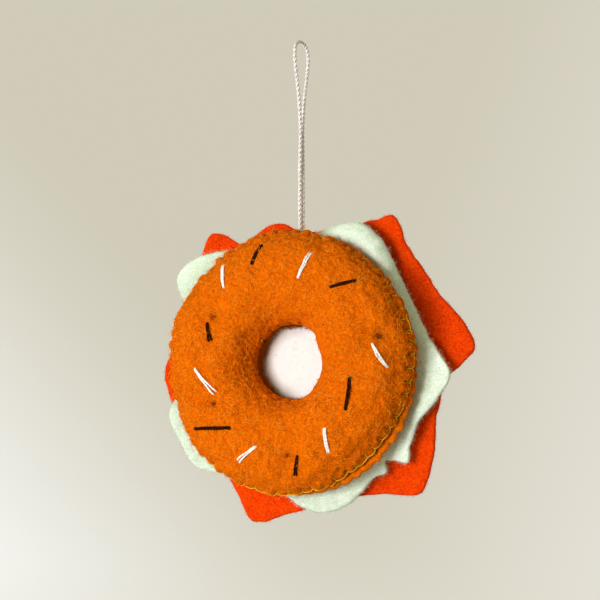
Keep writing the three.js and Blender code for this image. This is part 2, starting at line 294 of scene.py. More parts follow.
def woolGroup():
    tree, given, made = newTree("MattedWool", "ShaderNodeTree", {
        "Vector": "Vector", "Fibre Size": 0.0012, "Fibre Width": 0.07, "Blotch Size": 0.004, "Speck Size": 0.0007,
    }, dict.fromkeys(("Blotch", "Fibre", "Grain", "Speck", "Height"), "Float"))
    sizes = ("Fibre Size", "Blotch Size", "Speck Size")
    fine, wide, small = (mathNode(tree, "DIVIDE", 1.0, given[size]) for size in sizes)
    warp = noiseNode(tree, given["Vector"], fine, 1.0)["Color"]
    bent = vectorNode(tree, "ADD", given["Vector"], vectorNode(tree, "SCALE", warp, given["Fibre Size"]))
    # Fibres run where a noise crosses its middle value, in three layers
    strand = 0.0
    for shift, pace in ((0.0, 0.7), (0.31, 1.1), (0.77, 1.7)):
        place = vectorNode(tree, "ADD", bent, (shift, shift * 2, shift * 3))
        field = noiseNode(tree, place, times(tree, fine, pace), 0.0)["Fac"]
        gap = mathNode(tree, "ABSOLUTE", mathNode(tree, "SUBTRACT", field, 0.5))
        width = times(tree, given["Fibre Width"], pace)
        strand = mathNode(tree, "MAXIMUM", rangeNode(tree, gap, 0.0, width, 1.0, 0.0), strand)
    blotch = rangeNode(tree, noiseNode(tree, given["Vector"], wide, 5.0, 0.62)["Fac"], 0.3, 0.7)
    curled = noiseNode(tree, bent, times(tree, fine, 2.6), 2.0, 0.7)["Fac"]
    grain = rangeNode(tree, curled, 0.32, 0.68)
    speck = rangeNode(tree, noiseNode(tree, bent, small, 1.0, 0.6)["Fac"], 0.4, 0.6)
    height = mathNode(tree, "MULTIPLY_ADD", grain, 0.5, times(tree, strand, 0.5))
    for socket, value in zip(made, (blotch, strand, grain, speck, height)):
        tree.links.new(value, socket)
    return tree


wool = woolGroup()


def plainShader(name, roughness, sheen, tint, specular):
    material = bpy.data.materials.new(name)
    material.use_nodes = True
    shader = material.node_tree.nodes["Principled BSDF"]
    for key, value in {"Roughness": roughness, "Specular IOR Level": specular, "Sheen Weight": sheen,
                       "Sheen Roughness": 0.5, "Sheen Tint": (*tint, 1)}.items():
        shader.inputs[key].default_value = value
    place = addNode(material.node_tree, "ShaderNodeTexCoord").outputs["Object"]
    return material, material.node_tree, shader, place


def paint(tree, shader, colour, height, strength, depth):
    tree.links.new(colour, shader.inputs["Base Color"])
    bump = outOf(tree, "ShaderNodeBump", {"Height": height, "Strength": strength, "Distance": depth})
    tree.links.new(bump, shader.inputs["Normal"])


def feltMaterial(name, look):
    # Blotch, grain and speck share out the tone; marked places take a darker colour of their own, as painted shade
    material, tree, shader, place = plainShader(name, 0.95, 0.0, look["fibre"], look["shine"])
    sizes = {key: look[key] for key in ("Fibre Size", "Fibre Width", "Blotch Size", "Speck Size")}
    made = addNode(tree, "ShaderNodeGroup", {"Vector": place, **sizes}, node_tree=wool).outputs
    tone = 0.0
    for part, share in look["shares"].items():
        tone = mathNode(tree, "MULTIPLY_ADD", made[part], share, tone)
    base = mixed(tree, tone, look["dark"], look["light"])
    base = mixed(tree, times(tree, made["Fibre"], look["fibreShare"]), base, look["fibre"])
    paintedShade = addNode(tree, "ShaderNodeAttribute", attribute_name="paintedShade", attribute_type="GEOMETRY").outputs["Fac"]
    paint(tree, shader, mixed(tree, paintedShade, base, look["paintedShade"]), made["Height"], look["bump"], look["bumpDepth"])
    return material


def fibreMaterial(name, dark, light, size=0.002):
    # Loose fibres: each takes a slightly different tone from where it lies
    material, tree, shader, place = plainShader(name, 0.9, 0.02, light, 0.05)
    tone = noiseNode(tree, place, 1 / size, 2.0)["Fac"]
    tree.links.new(mixed(tree, tone, dark, light), shader.inputs["Base Color"])
    return material


def threadMaterial(name, dark, light, roughness, sheen, scale=2600.0, shine=0.12):
    # Spun thread: fine fibres along it as tone and relief
    material, tree, shader, place = plainShader(name, roughness, sheen, light, shine)
    spun = noiseNode(tree, place, scale, 3.0, 0.7)["Fac"]
    paint(tree, shader, mixed(tree, rangeNode(tree, spun, 0.32, 0.68), dark, light), spun, 0.5, 0.0001)
    return material


# Each look also holds a darker colour: painted shade for the places that the mesh marks
crustLook = {
    "dark": (0.53, 0.060, 0.0006), "light": (1.0, 0.19, 0.0011), "fibre": (1.0, 0.26, 0.003),
    "paintedShade": (0.13, 0.02, 0.0005), "shares": {"Blotch": 0.26, "Grain": 0.26, "Speck": 0.48}, "fibreShare": 0.35,
    "Fibre Size": 0.0016, "Fibre Width": 0.07, "Blotch Size": 0.0035, "Speck Size": 0.0006,
    "bump": 1.0, "bumpDepth": 0.0003, "shine": 0.012,
}
crumbLook = crustLook | {"dark": (0.50, 0.08, 0.002), "light": (0.97, 0.20, 0.003), "Blotch Size": 0.003}
creamLook = crustLook | {
    "dark": (0.84, 0.845, 0.88), "light": (0.90, 0.905, 0.95), "fibre": (0.93, 0.93, 0.96),
    "paintedShade": (0.30, 0.145, 0.05), "shares": {"Blotch": 0.4, "Grain": 0.2, "Speck": 0.4}, "fibreShare": 0.2,
    "Fibre Size": 0.0018, "Fibre Width": 0.06, "Blotch Size": 0.006, "Speck Size": 0.0008,
    "bump": 0.12, "bumpDepth": 0.00012, "shine": 0.03,
}
lettuceLook = crustLook | {
    "dark": (0.55, 0.76, 0.54), "light": (0.93, 1.0, 0.97), "fibre": (0.93, 1.0, 0.97),
    "paintedShade": (0.34, 0.52, 0.33), "shares": {"Blotch": 0.22, "Grain": 0.2, "Speck": 0.58}, "fibreShare": 0.4,
    "Fibre Width": 0.06, "Blotch Size": 0.005, "bump": 0.5, "bumpDepth": 0.00025, "shine": 0.04,
}
salmonLook = lettuceLook | {
    "dark": (0.50, 0.012, 0.0005), "light": (1.0, 0.062, 0.0013), "fibre": (1.0, 0.12, 0.004),
    "paintedShade": (0.17, 0.008, 0.0005), "shares": {"Blotch": 0.26, "Grain": 0.3, "Speck": 0.44},
    "Blotch Size": 0.006, "shine": 0.015,
}
fillLook = creamLook | {"Fibre Size": 0.002, "bump": 1.0, "bumpDepth": 0.0006}

crustFelt = feltMaterial("crust_felt_look", crustLook)
crumbFelt = feltMaterial("crumb_felt_look", crumbLook)
creamFelt = feltMaterial("cream_felt_look", creamLook)
lettuceFelt = feltMaterial("lettuce_felt_look", lettuceLook)
salmonFelt = feltMaterial("salmon_felt_look", salmonLook)
fibreFill = feltMaterial("fibre_fill_look", fillLook)
crustFibre = fibreMaterial("crust_fibre_look", (0.80, 0.15, 0.001), (1.0, 0.36, 0.01))
curlFibre = fibreMaterial("curled_fibre_look", (0.95, 0.26, 0.004), (1.0, 0.50, 0.05), 0.006)
# The crumb's loose fibres grow only on its wall in the hole and are coloured dark, as painted shade
crumbFibre = fibreMaterial("crumb_fibre_painted_shade_look", (0.22, 0.04, 0.001), (0.6, 0.14, 0.003))
creamFibre = fibreMaterial("cream_fibre_look", (0.88, 0.87, 0.84), (0.96, 0.95, 0.93))
lettuceFibre = fibreMaterial("lettuce_fibre_look", (0.78, 0.87, 0.73), (0.93, 0.96, 0.90))
salmonFibre = fibreMaterial("salmon_fibre_look", (0.90, 0.045, 0.002), (1.0, 0.12, 0.008))
goldThread = threadMaterial("gold_thread_look", (0.88, 0.42, 0.008), (1.0, 0.72, 0.05), 0.5, 0.0)
whiteThread = threadMaterial("white_thread_look", (0.92, 0.91, 0.94), (1.0, 1.0, 1.0), 0.6, 0.1)
blackThread = threadMaterial("black_thread_look", (0.004, 0.001, 0.0003), (0.06, 0.014, 0.003), 0.8, 0.0, 1500.0, 0.03)
tackThread = threadMaterial("tack_thread_look", (0.06, 0.012, 0.001), (0.24, 0.06, 0.003), 0.9, 0.0)
whiteCord = threadMaterial("white_cord_look", (0.70, 0.62, 0.65), (1.0, 0.965, 0.99), 0.8, 0.3, 900.0)
print("finishes made")


# Node trees that make what repeats: loose fibres, twisted threads and blanket stitches

def attributeNode(tree, label, kind="FLOAT"):
    return outOf(tree, "GeometryNodeInputNamedAttribute", {"Name": label}, data_type=kind)


def randomNode(tree, low, high, seed):
    return addNode(tree, "FunctionNodeRandomValue", {2: low, 3: high, "Seed": seed}, data_type="FLOAT").outputs[1]


def turnedBy(tree, rotation, angles):
    turn = outOf(tree, "FunctionNodeEulerToRotation", {0: angles})
    return outOf(tree, "FunctionNodeRotateRotation", {0: rotation, 1: turn}, rotation_space="LOCAL")


def spunBy(tree, rotation, low, high, seed):
    # Turned about its own Z by a random angle
    angles = outOf(tree, "FunctionNodeRandomValue", {0: (0.0, 0.0, low), 1: (0.0, 0.0, high), "Seed": seed},
                   data_type="FLOAT_VECTOR")
    return turnedBy(tree, rotation, angles)


def realized(tree, geometry):
    return outOf(tree, "GeometryNodeRealizeInstances", {"Geometry": geometry})


def endTree(tree, made, geometry, material):
    finish = outOf(tree, "GeometryNodeSetMaterial", {"Geometry": realized(tree, geometry), "Material": material})
    tree.links.new(finish, made[0])
    return tree


def circleNode(tree, sides, radius):
    return outOf(tree, "GeometryNodeCurvePrimitiveCircle", {"Resolution": sides, "Radius": radius}, mode="RADIUS")


fibre = {"points": 5, "sizes": (0.45, 1.3), "wanderPace": 1.4, "wanderReach": 3.0}


def fibreTree():
    tree, given, made = newTree("LooseFibres", "GeometryNodeTree", {
        "Geometry": "Geometry", "Density": 1e6, "Length": 0.003, "Thickness": 0.00004, "Curl": 0.0015,
        "Lift": 0.25, "Seed": 1, "Material": "Material"}, {"Geometry": "Geometry"})
    spots = addNode(tree, "GeometryNodeDistributePointsOnFaces", {
        "Mesh": given["Geometry"], "Seed": given["Seed"],
        "Density": times(tree, attributeNode(tree, "fuzz"), given["Density"])}).outputs
    tip = outOf(tree, "ShaderNodeCombineXYZ", {"X": given["Length"]})
    line = outOf(tree, "GeometryNodeCurvePrimitiveLine", {"End": tip})
    strand = outOf(tree, "GeometryNodeResampleCurve", {"Curve": line, "Count": fibre["points"]})
    spun = spunBy(tree, spots["Rotation"], 0.0, fullTurn, given["Seed"])
    raised = times(tree, randomNode(tree, 0.0, given["Lift"], 7), -1.0)
    tilted = turnedBy(tree, spun, outOf(tree, "ShaderNodeCombineXYZ", {"Y": raised}))
    strands = realized(tree, outOf(tree, "GeometryNodeInstanceOnPoints", {
        "Points": spots["Points"], "Instance": strand, "Rotation": tilted,
        "Scale": randomNode(tree, *fibre["sizes"], 11)}))
    # The strands wander off sideways, more towards their tips
    place = outOf(tree, "GeometryNodeInputPosition")
    wander = noiseNode(tree, place, mathNode(tree, "DIVIDE", fibre["wanderPace"], given["Length"]), 1.0)["Color"]
    along = addNode(tree, "GeometryNodeSplineParameter").outputs["Factor"]
    bend = times(tree, along, times(tree, given["Curl"], fibre["wanderReach"]))
    offset = vectorNode(tree, "SCALE", vectorNode(tree, "SUBTRACT", wander, (0.5, 0.5, 0.5)), bend)
    curled = outOf(tree, "GeometryNodeSetPosition", {"Geometry": strands, "Offset": offset})
    solid = outOf(tree, "GeometryNodeCurveToMesh", {
        "Curve": curled, "Profile Curve": circleNode(tree, 3, given["Thickness"])})
    return endTree(tree, made, solid, given["Material"])


def plySection(tree, radius, plies, sides, depth=0.3):
    # A round section drawn in between its plies
    turn = times(tree, outOf(tree, "GeometryNodeInputIndex"),
                    times(tree, plies, math.pi / sides))
    crest = mathNode(tree, "ABSOLUTE", mathNode(tree, "COSINE", turn))
    share = mathNode(tree, "MULTIPLY_ADD", crest, depth, 1 - depth)
    drawn = vectorNode(tree, "SCALE", outOf(tree, "GeometryNodeInputPosition"), share)
    return outOf(tree, "GeometryNodeSetPosition", {"Geometry": circleNode(tree, sides, radius), "Position": drawn})


def twisted(tree, curve, section, given):
    even = outOf(tree, "GeometryNodeResampleCurve", {"Curve": curve, "Length": given["Step"]}, mode="LENGTH")
    along = addNode(tree, "GeometryNodeSplineParameter").outputs["Length"]
    tilt = times(tree, mathNode(tree, "DIVIDE", along, given["Twist Pitch"]), fullTurn)
    turned = outOf(tree, "GeometryNodeSetCurveTilt", {"Curve": even, "Tilt": tilt})
    return outOf(tree, "GeometryNodeCurveToMesh", {"Curve": turned, "Profile Curve": section, "Fill Caps": True})


threadInputs = {
    "Geometry": "Geometry", "Thread Radius": 0.00035, "Plies": 2.0, "Twist Pitch": 0.0025, "Step": 0.0002,
    "Material": "Material",
}


def threadTree():
    tree, given, made = newTree("TwistedThread", "GeometryNodeTree", threadInputs, {"Geometry": "Geometry"})
    curve = outOf(tree, "GeometryNodeMeshToCurve", {"Mesh": given["Geometry"]})
    section = plySection(tree, given["Thread Radius"], given["Plies"], 10)
    return endTree(tree, made, twisted(tree, curve, section, given), given["Material"])


legShape = {"points": 12, "startHandle": 0.25, "endHandle": 0.95, "spin": 0.2, "sizes": (0.85, 1.1)}


def blanketTree():
    # The guide is a ring along the edge: points marked stitch carry a leg that runs inwards over the lip
    tree, given, made = newTree("BlanketStitch", "GeometryNodeTree", threadInputs | {
        "Leg Length": 0.0027, "Leg Rise": 0.0003, "Leg Dive": 0.0006, "Seed": 1}, {"Geometry": "Geometry"})
    section = plySection(tree, given["Thread Radius"], given["Plies"], 8)
    ring = outOf(tree, "GeometryNodeMeshToCurve", {"Mesh": given["Geometry"]})
    edge = twisted(tree, ring, section, given)
    chosen = outOf(tree, "FunctionNodeCompare", {0: attributeNode(tree, "stitch"), 1: 0.5}, operation="GREATER_THAN")
    places = outOf(tree, "GeometryNodeMeshToPoints", {"Mesh": given["Geometry"], "Selection": chosen})

    def reachAt(share, height):
        across = times(tree, given["Leg Length"], share)
        return outOf(tree, "ShaderNodeCombineXYZ", {"X": across, "Z": height})

    leg = outOf(tree, "GeometryNodeCurvePrimitiveBezierSegment", {
        "Resolution": legShape["points"], "Start": (0.0, 0.0, 0.0),
        "Start Handle": reachAt(legShape["startHandle"], given["Leg Rise"]),
        "End Handle": reachAt(legShape["endHandle"], given["Leg Rise"]),
        "End": reachAt(1.0, times(tree, given["Leg Dive"], -1.0))})
    facing = outOf(tree, "FunctionNodeAxesToRotation", {
        0: attributeNode(tree, "inward", "FLOAT_VECTOR"), 1: attributeNode(tree, "facing", "FLOAT_VECTOR")},
        primary_axis="X", secondary_axis="Z")
    legs = outOf(tree, "GeometryNodeInstanceOnPoints", {
        "Points": places, "Instance": leg,
        "Rotation": spunBy(tree, facing, -legShape["spin"], legShape["spin"], given["Seed"]),
        "Scale": randomNode(tree, *legShape["sizes"], given["Seed"])})
    both = addNode(tree, "GeometryNodeJoinGeometry")
    for part in (edge, twisted(tree, realized(tree, legs), section, given)):
        tree.links.new(part, both.inputs[0])
    return endTree(tree, made, both.outputs[0], given["Material"])


looseFibres = fibreTree()
twistedThread = threadTree()
blanketStitch = blanketTree()


def addFuzz(name, piece, slot, material, look):
    made = grown(name, piece.data.copy(), looseFibres, look | {"Material": material})
    settle(made, "ornament", slot)


# The cord: a loop, a neck, and two ends knotted between the felts
cord = {
    "diameter": 0.0013, "step": 0.00022, "plies": 3, "pitch": 0.005, "sides": 18, "groove": 0.7, "crest": 0.8,
    "twistFrom": -0.018, "swingReach": 0.0022, "gather": 0.85, "swingAt": -0.065, "partGap": 0.00003,
    "neckHeights": (-0.0615, -0.0632), "bendHeight": -0.0672, "aboveKnot": 0.0008, "knotFlat": 0.9,
    "knotReach": 0.00135, "knotThread": 0.0006, "knotPoints": 120, "knotSides": 12,
}
# One strand of the loop from the seam up to the branch, as (x, y, z); the other is its half turn
strandRoute = [
    (-0.00036, -0.00070, -0.05885), (-0.00036, -0.00070, -0.056), (-0.00034, -0.00073, -0.051),
    (-0.0003, -0.00078, -0.046), (-0.0002, -0.00083, -0.041), (-0.0001, -0.00088, -0.036),
    (0, -0.00098, -0.031), (0, -0.00135, -0.026), (0, -0.0021, -0.021), (0, -0.0033, -0.016),
    (0, -0.0047, -0.011), (0, -0.0057, -0.007), (0, -0.0059, -0.004), (0, -0.0051, -0.0015),
    (0, -0.0029, 0.00015),
]
cordRoute = strandRoute + [(0, 0, 0.00065)] + [(-x, -y, z) for x, y, z in strandRoute[::-1]]


def ringsAlong(line, tangent, reference, reach, angle):
    # A ring of points round each point of the line, its angles counted from the reference direction
    tangent, reference = unit(tangent), np.array(reference, float)
    across = unit(reference - tangent * (tangent @ reference)[:, None])
    other = np.cross(tangent, across)
    return line[:, None] + reach * (across[:, None] * np.cos(angle)[..., None]
                                    + other[:, None] * np.sin(angle)[..., None])


def plyTube(line, phase=0.0):
    # The rings of a cord laid from plies that turn round each other, and the phase they end at
    turn = evenTurns(cord["sides"])
    crest = np.abs(np.cos(turn * cord["plies"] / 2)) ** cord["crest"]
    reach = cord["diameter"] / 2 * (1 - cord["groove"] * (1 - crest))
    laid = fullTurn * lengthsAlong(line) / cord["pitch"] + phase
    return ringsAlong(line, np.gradient(line, axis=0), (1, 0, 0), reach[None, :, None], turn + laid[:, None]), laid[-1]


def tubeMesh(parts):
    # Points and faces of several ring stacks, each closed at both ends
    points, faces, first = [], [], 0
    for rings in parts:
        rows, sides = rings.shape[:2]
        faces += [[first + i for i in face] for face in gridFaces(rows, sides, False, True)]
        last = first + (rows - 1) * sides
        faces += [list(range(first, first + sides)), list(range(last + sides - 1, last - 1, -1))]
        points.append(rings.reshape(-1, 3))
        first += rows * sides
    return np.vstack(points), faces


def makeCord():
    line = curveThrough(cordRoute, cord["step"])
    rings, endPhase = plyTube(line)
    loop = meshPiece("cord_loop", *tubeMesh([rings]), whiteCord)
    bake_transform(loop)
    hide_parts("hanging_cord")
    makeNeck(endPhase)


def makeNeck(endPhase):
    # Both strands go on from the loop's ends, come together, and run down to the knot
    swing, (tailLow, tailHigh) = cord["swingAt"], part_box("cord_tail")
    knotY, knotZ = (tailLow.y + tailHigh.y) / 2, tailLow.z + (tailHigh.y - tailLow.y) / 2
    parts = []
    for top in (cordRoute[0], cordRoute[-1]):
        close = np.array(top) * (cord["gather"], cord["gather"], 0)
        stops = [(0, z) for z in (*cord["neckHeights"], swing)]
        stops += [(knotY / 3, cord["bendHeight"]), (knotY, knotZ + cord["aboveKnot"])]
        line = curveThrough([top] + [close + (0, *stop) for stop in stops], cord["step"])
        line[0, 2] -= cord["partGap"]
        if top is cordRoute[0]:  # this strand's plies are counted upwards, as the loop's are
            line = line[::-1]
            parts.append(plyTube(line, -fullTurn * lengthsAlong(line)[-1] / cord["pitch"])[0])
        else:
            parts.append(plyTube(line, endPhase)[0])
    points, faces = tubeMesh(parts)
    turn = evenTurns(cord["knotPoints"])
    reach = cord["knotReach"] / 3
    knotLine = np.stack([
        reach * (np.sin(turn) + 2 * np.sin(2 * turn)), knotY - reach * cord["knotFlat"] * np.sin(3 * turn),
        knotZ + reach * (np.cos(turn) - 2 * np.cos(2 * turn))], axis=1)
    tangent = np.roll(knotLine, -1, axis=0) - np.roll(knotLine, 1, axis=0)
    angle = evenTurns(cord["knotSides"])[None]
    knot = ringsAlong(knotLine, tangent, (0, 1, 0), cord["knotThread"], angle)
    faces += [[len(points) + i for i in face] for face in gridFaces(*knot.shape[:2], True, True)]
    neck = meshPiece("cord_neck_and_knot", np.vstack([points, knot.reshape(-1, 3)]), faces, whiteCord)
    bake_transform(neck)
    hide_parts("cord_neck", "cord_tail")


makeCord()


# The two stuffed rolls. Each felt is swept round the axis: radius is the distance from it, out that from the seam.
# Shares and pairs named by turn are (degrees, value) round the roll; bands are (from, to) in radius or height.
roll = {
    "radius": 0.045, "holeRadius": 0.0126, "rimLip": 0.0019, "holeLip": 0.0013, "felt": 0.0015, "seamGap": 0.00003,
    "edgeOut": 0.0009, "fullness": 2.6, "steepness": 0.75, "softness": 0.00045,
    "wallFullness": 20.0, "wallSteepness": 0.35, "wallBand": (0.013, 0.015),
    "rimStitches": 64, "holeStitches": 20, "stitchJitter": 0.13, "edgeBand": (0.0003, 0.0022),
    "legReach": 0.0021, "holeLegReach": 0.0014, "legFade": 0.0008, "bulgeSpread": (0.15, 1.3), "pullSpread": (0.2, 1.3),
    "pierced": [(-100, 0.0021), (-60, 0.0024), (-30, 0.0030), (0, 0.0036), (50, 0.0036), (80, 0.0026), (110, 0.0020),
                (200, 0.0019)],
    "crustEdge": (0.00036, 0.00032), "crumbEdge": (0.0004, 0.0003), "holeEdge": (0.00004, 0.00004),
    "grooveDark": 0.6, "grooveDepth": 0.0004, "grooveHalf": 0.00036, "pinholeDepth": 0.0009, "pinholeHalf": 0.0006,
    "pucker": 0.0001, "puckerReach": 0.0045,
    "lumps": (0.00028, 0.009), "creases": (0.00012, 0.0032), "nap": (0.00006, 0.0013), "napWaves": 24,
    "innerLines": 14, "raisedBand": (0.0004, 0.003), "dentBand": (0.0001, 0.0007), "darkest": 0.9,
    "wallDarkBand": (0.0001, 0.0006), "wallFuzzBand": (0.0006, 0.0016), "fuzzBand": (0.0004, 0.002),
    "fuzzFrom": (0.0135, 0.0165), "holeStitchSize": 0.6, "layerGap": 0.0001, "halfLines": 161,
    "rimShaped": (0.030, 0.045), "holeShaped": (0.0126, 0.018), "leanBand": (0.0135, 0.021),
    "crustRim": [(0, 0.0), (40, -0.0013), (72, -0.0010), (98, 0.0003), (130, 0.0), (168, 0.0010), (183, 0.0),
                 (200, -0.0002), (215, 0.0006), (262, 0.0006), (284, 0.0), (303, -0.0012), (325, -0.0016),
                 (345, -0.0006)],
    "crumbRim": [(0, -0.0002), (40, -0.0017), (72, -0.0015), (98, 0.0), (130, 0.0), (175, 0.0), (215, 0.0),
                 (262, 0.0004), (284, 0.0008), (303, 0.0013), (325, 0.0012), (345, 0.0004)],
    "holeShape": [(-68, -0.0007), (-40, 0.0), (-15, 0.0010), (5, 0.0013), (26, 0.0013), (48, 0.0002), (70, 0.0001),
                  (110, 0.0), (180, -0.0005), (235, 0.0), (262, -0.0002)],
    # Painted shade by turn, on the rim's right side and on the left slope into the hole, in random patches
    "slopeShadeRim": [(0, 0.17), (40, 0.17), (80, 0.06), (150, 0.06), (230, 0.0), (290, 0.04), (335, 0.12)],
    "slopeShadeHole": [(60, 0.0), (120, 0.14), (180, 0.25), (240, 0.14), (300, 0.02)],
    "slopeShadeRimBand": (0.0365, 0.042), "slopeShadeHoleBand": (0.0165, 0.022), "slopeShadePatches": 0.7,
}
frontRoll = {
    "crustSwell": 0.009, "crumbSwell": 0.0022, "wallLean": (0.0013, -0.0006), "seed": 5, "stitchSteps": 10,
    "crustLines": 110,
}
backRoll = {
    "crustSwell": 0.0062, "crumbSwell": 0.003, "wallLean": (0.0, 0.0), "seed": 9, "stitchSteps": 6, "crustLines": 48,
}
crumbGrid = {"stitchSteps": 6, "lines": 60}
# Tacks and seeds lie at shares of the roll's radius; a seed's four numbers are its two ends
tackShares = [(0.777, 0.14), (-0.56, -0.32), (0.04, -0.72), (-0.56, 0.34)]
tack = {
    "reach": 0.009, "depth": 0.0016, "dimple": 0.0012, "dimpleHalf": 0.001, "darkHalf": 0.0010,
    "darkness": [1.7, 0.95, 0.95, 0.85], "ringDark": 0.4, "bar": 0.001, "spread": 0.00025,
    "radius": 0.0002, "pitch": 0.0016, "step": 0.0002, "lift": -0.0001, "arch": 0, "dive": 0.0009, "tuck": 0,
    "points": 5, "dull": 0.3, "slants": (0.3, -0.25),
}
seedStitch = {
    "radius": 0.00037, "pitch": 0.0024, "step": 0.00016, "lift": 0.00034, "arch": 0.00012, "dive": 0.0011,
    "tuck": 0.0003, "points": 9, "dent": 0.00045, "dentHalf": 0.0008,
}
whiteSeedShares = [
    (-0.49, 0.725, -0.465, 0.56), (0.235, 0.78, 0.15, 0.60), (0.73, 0.08, 0.84, -0.09),
    (-0.70, -0.055, -0.545, -0.235), (-0.19, -0.655, -0.345, -0.755), (0.365, -0.535, 0.38, -0.705),
]
blackSeedShares = [
    (-0.175, 0.87, -0.23, 0.725), (0.41, 0.515, 0.595, 0.555), (-0.61, 0.29, -0.575, 0.16),
    (0.565, -0.16, 0.53, -0.395), (-0.72, -0.505, -0.41, -0.51), (0.13, -0.73, 0.10, -0.865),
]
halfSeam = 0.00015
lipTop = halfSeam + roll["felt"]
ringMiddle = (roll["holeRadius"] + roll["holeLip"] + roll["radius"] - roll["rimLip"]) / 2
frontSeam = crustHigh.y + halfSeam
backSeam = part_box("back_crust")[0].y - halfSeam


def aroundBy(knots, turns):
    # A value that changes smoothly round the roll through knots of (degrees, value)
    at = np.radians([k[0] for k in knots])
    values = np.array([k[1] for k in knots])
    turns = (turns - at[0]) % fullTurn
    at = np.concatenate([at - at[0], [fullTurn]])
    values = np.concatenate([values, values[:1]])
    gap = np.clip(np.searchsorted(at, turns, side="right") - 1, 0, len(knots) - 1)
    share = smoothStep(at[gap], at[gap + 1], turns)
    return values[gap] + (values[gap + 1] - values[gap]) * share


def dome(swell, base, inset, walled=False):
    # Half a section of the stuffed ring, from the hole to the rim. A walled one goes straight in at the hole.
    across = np.sin(np.linspace(-math.pi / 2, math.pi / 2, roll["halfLines"]))
    half = np.where(across < 0, ringMiddle - roll["holeRadius"], roll["radius"] - ringMiddle) - inset
    atWall = (across < 0) & walled
    fullness = np.where(atWall, roll["wallFullness"], roll["fullness"])
    steepness = np.where(atWall, roll["wallSteepness"], roll["steepness"])
    rise = np.clip(1 - np.abs(across) ** fullness, 0, 1) ** steepness
    return np.stack([ringMiddle + across * half, base + swell * rise], axis=1)


def softened(line, reach, step=0.0001):
    # Rounds a line's corners over about this reach and keeps its ends
    fine = evenly(line, step)
    half = int(4 * reach / step)
    weights = np.exp(-0.5 * (np.arange(-half, half + 1) * step / reach) ** 2)
    padded = np.vstack([2 * fine[:1] - fine[half:0:-1], fine, 2 * fine[-1:] - fine[-2:-half - 2:-1]])
    return np.stack([np.convolve(padded[:, k], weights / weights.sum(), "valid") for k in range(2)], axis=1)


def feltProfile(swell, outerCount, innerCount, walled):
    # The felt's section: its outer line from the hole to the rim, then its inner line back
    gap, edge = roll["seamGap"], roll["edgeOut"]
    outer = softened(np.vstack([
        [(roll["holeRadius"], gap)], dome(lipTop + swell - edge, edge, 0, walled), [(roll["radius"], gap)]]),
        roll["softness"])
    inner = dome(swell, gap, roll["felt"] + roll["layerGap"], walled)[::-1]
    return [evenly(part, lengthsAlong(part)[-1] / (count - 1))
            for part, count in ((outer, outerCount), (inner, innerCount))]


def stitchTurns(count, seed):
    jitter = np.random.default_rng(seed).uniform(-roll["stitchJitter"], roll["stitchJitter"], count)
    return (np.arange(count) + jitter) * fullTurn / count


def stitchedEdge(radius, turns, along, stitches, reach, size):
    # What a row of blanket stitches does to a felt: how far its edge bulges, how deep it dents and its painted shade.
    # Along is the distance from the edge over the face, phase how far a turn lies between its two stitches.
    ends = np.concatenate([stitches, [stitches[0] + fullTurn]])
    wrapped = (turns - stitches[0]) % fullTurn + stitches[0]
    gap = np.clip(np.searchsorted(ends, wrapped + 1e-9) - 1, 0, len(stitches) - 1)
    phase = (wrapped - ends[gap]) / (ends[gap + 1] - ends[gap])
    draw = np.random.default_rng(len(stitches))
    bulge = draw.uniform(*roll["bulgeSpread"], len(stitches))[gap] * np.sin(math.pi * phase) ** 0.75
    tight = draw.uniform(*roll["pullSpread"], len(stitches))
    pull = np.where(phase < 0.5, tight[gap], np.roll(tight, -1)[gap])
    near = np.minimum(phase, 1 - phase) * fullTurn / len(stitches) * radius
    onLeg = 1 - smoothStep(reach, reach + roll["legFade"], along)
    groove = bell(near, roll["grooveHalf"]) * onLeg
    pinhole = bell(np.hypot(near, along - reach), roll["pinholeHalf"])
    atEdge = 1 - smoothStep(0, roll["puckerReach"] * size, along)
    dent = pull * (roll["grooveDepth"] * groove + roll["pinholeDepth"] * pinhole)
    # Painted shade in the grooves along the legs and in the pinholes
    dark = np.clip(pull, 0.5, 0.95) * np.maximum(pinhole, roll["grooveDark"] * groove)
    return bulge, dent + roll["pucker"] * size * np.cos(fullTurn * phase) * atEdge, dark


def distances(x, z, shares):
    # How far each place is from each point given as shares of the roll's radius
    return [np.hypot(x - shareX * roll["radius"], z - shareZ * roll["radius"]) for shareX, shareZ in shares]


def tackedIn(x, z, out, top, sharp):
    # How far the tacks pull a felt in: broadly as the stuffing gives, and sharply at the thread
    depth = np.zeros_like(x)
    for away in distances(x, z, tackShares):
        depth += tack["depth"] * np.clip(1 - (away / tack["reach"]) ** 2, 0, None) ** 2
        depth += sharp * tack["dimple"] * bell(away, tack["dimpleHalf"])
    return depth * np.clip(out / top, 0, 1)


# Painted shade in the tack dimples: a dark core and a fainter, wider ring round it
def darkAtTacks(x, z):
    paintedShade = np.zeros_like(x)
    for away, darkness in zip(distances(x, z, tackShares), tack["darkness"]):
        for share, half in ((1, tack["darkHalf"]), (tack["ringDark"], 2 * tack["darkHalf"])):
            paintedShade = np.maximum(paintedShade, share * darkness * bell(away, half))
    return np.minimum(paintedShade, 1)


def seedDents(x, z):
    ends = [shares[k:k + 2] for shares in whiteSeedShares + blackSeedShares for k in (0, 2)]
    return sum(seedStitch["dent"] * bell(away, seedStitch["dentHalf"]) for away in distances(x, z, ends))


def shapedRing(radius, turns, shape):
    # The ring isn't quite round: its hole and its rim drawn in or out a little
    atRim = smoothStep(*roll["rimShaped"], radius) * aroundBy(roll[shape], turns)
    return radius + atRim - (1 - smoothStep(*roll["holeShaped"], radius)) * aroundBy(roll["holeShape"], turns)


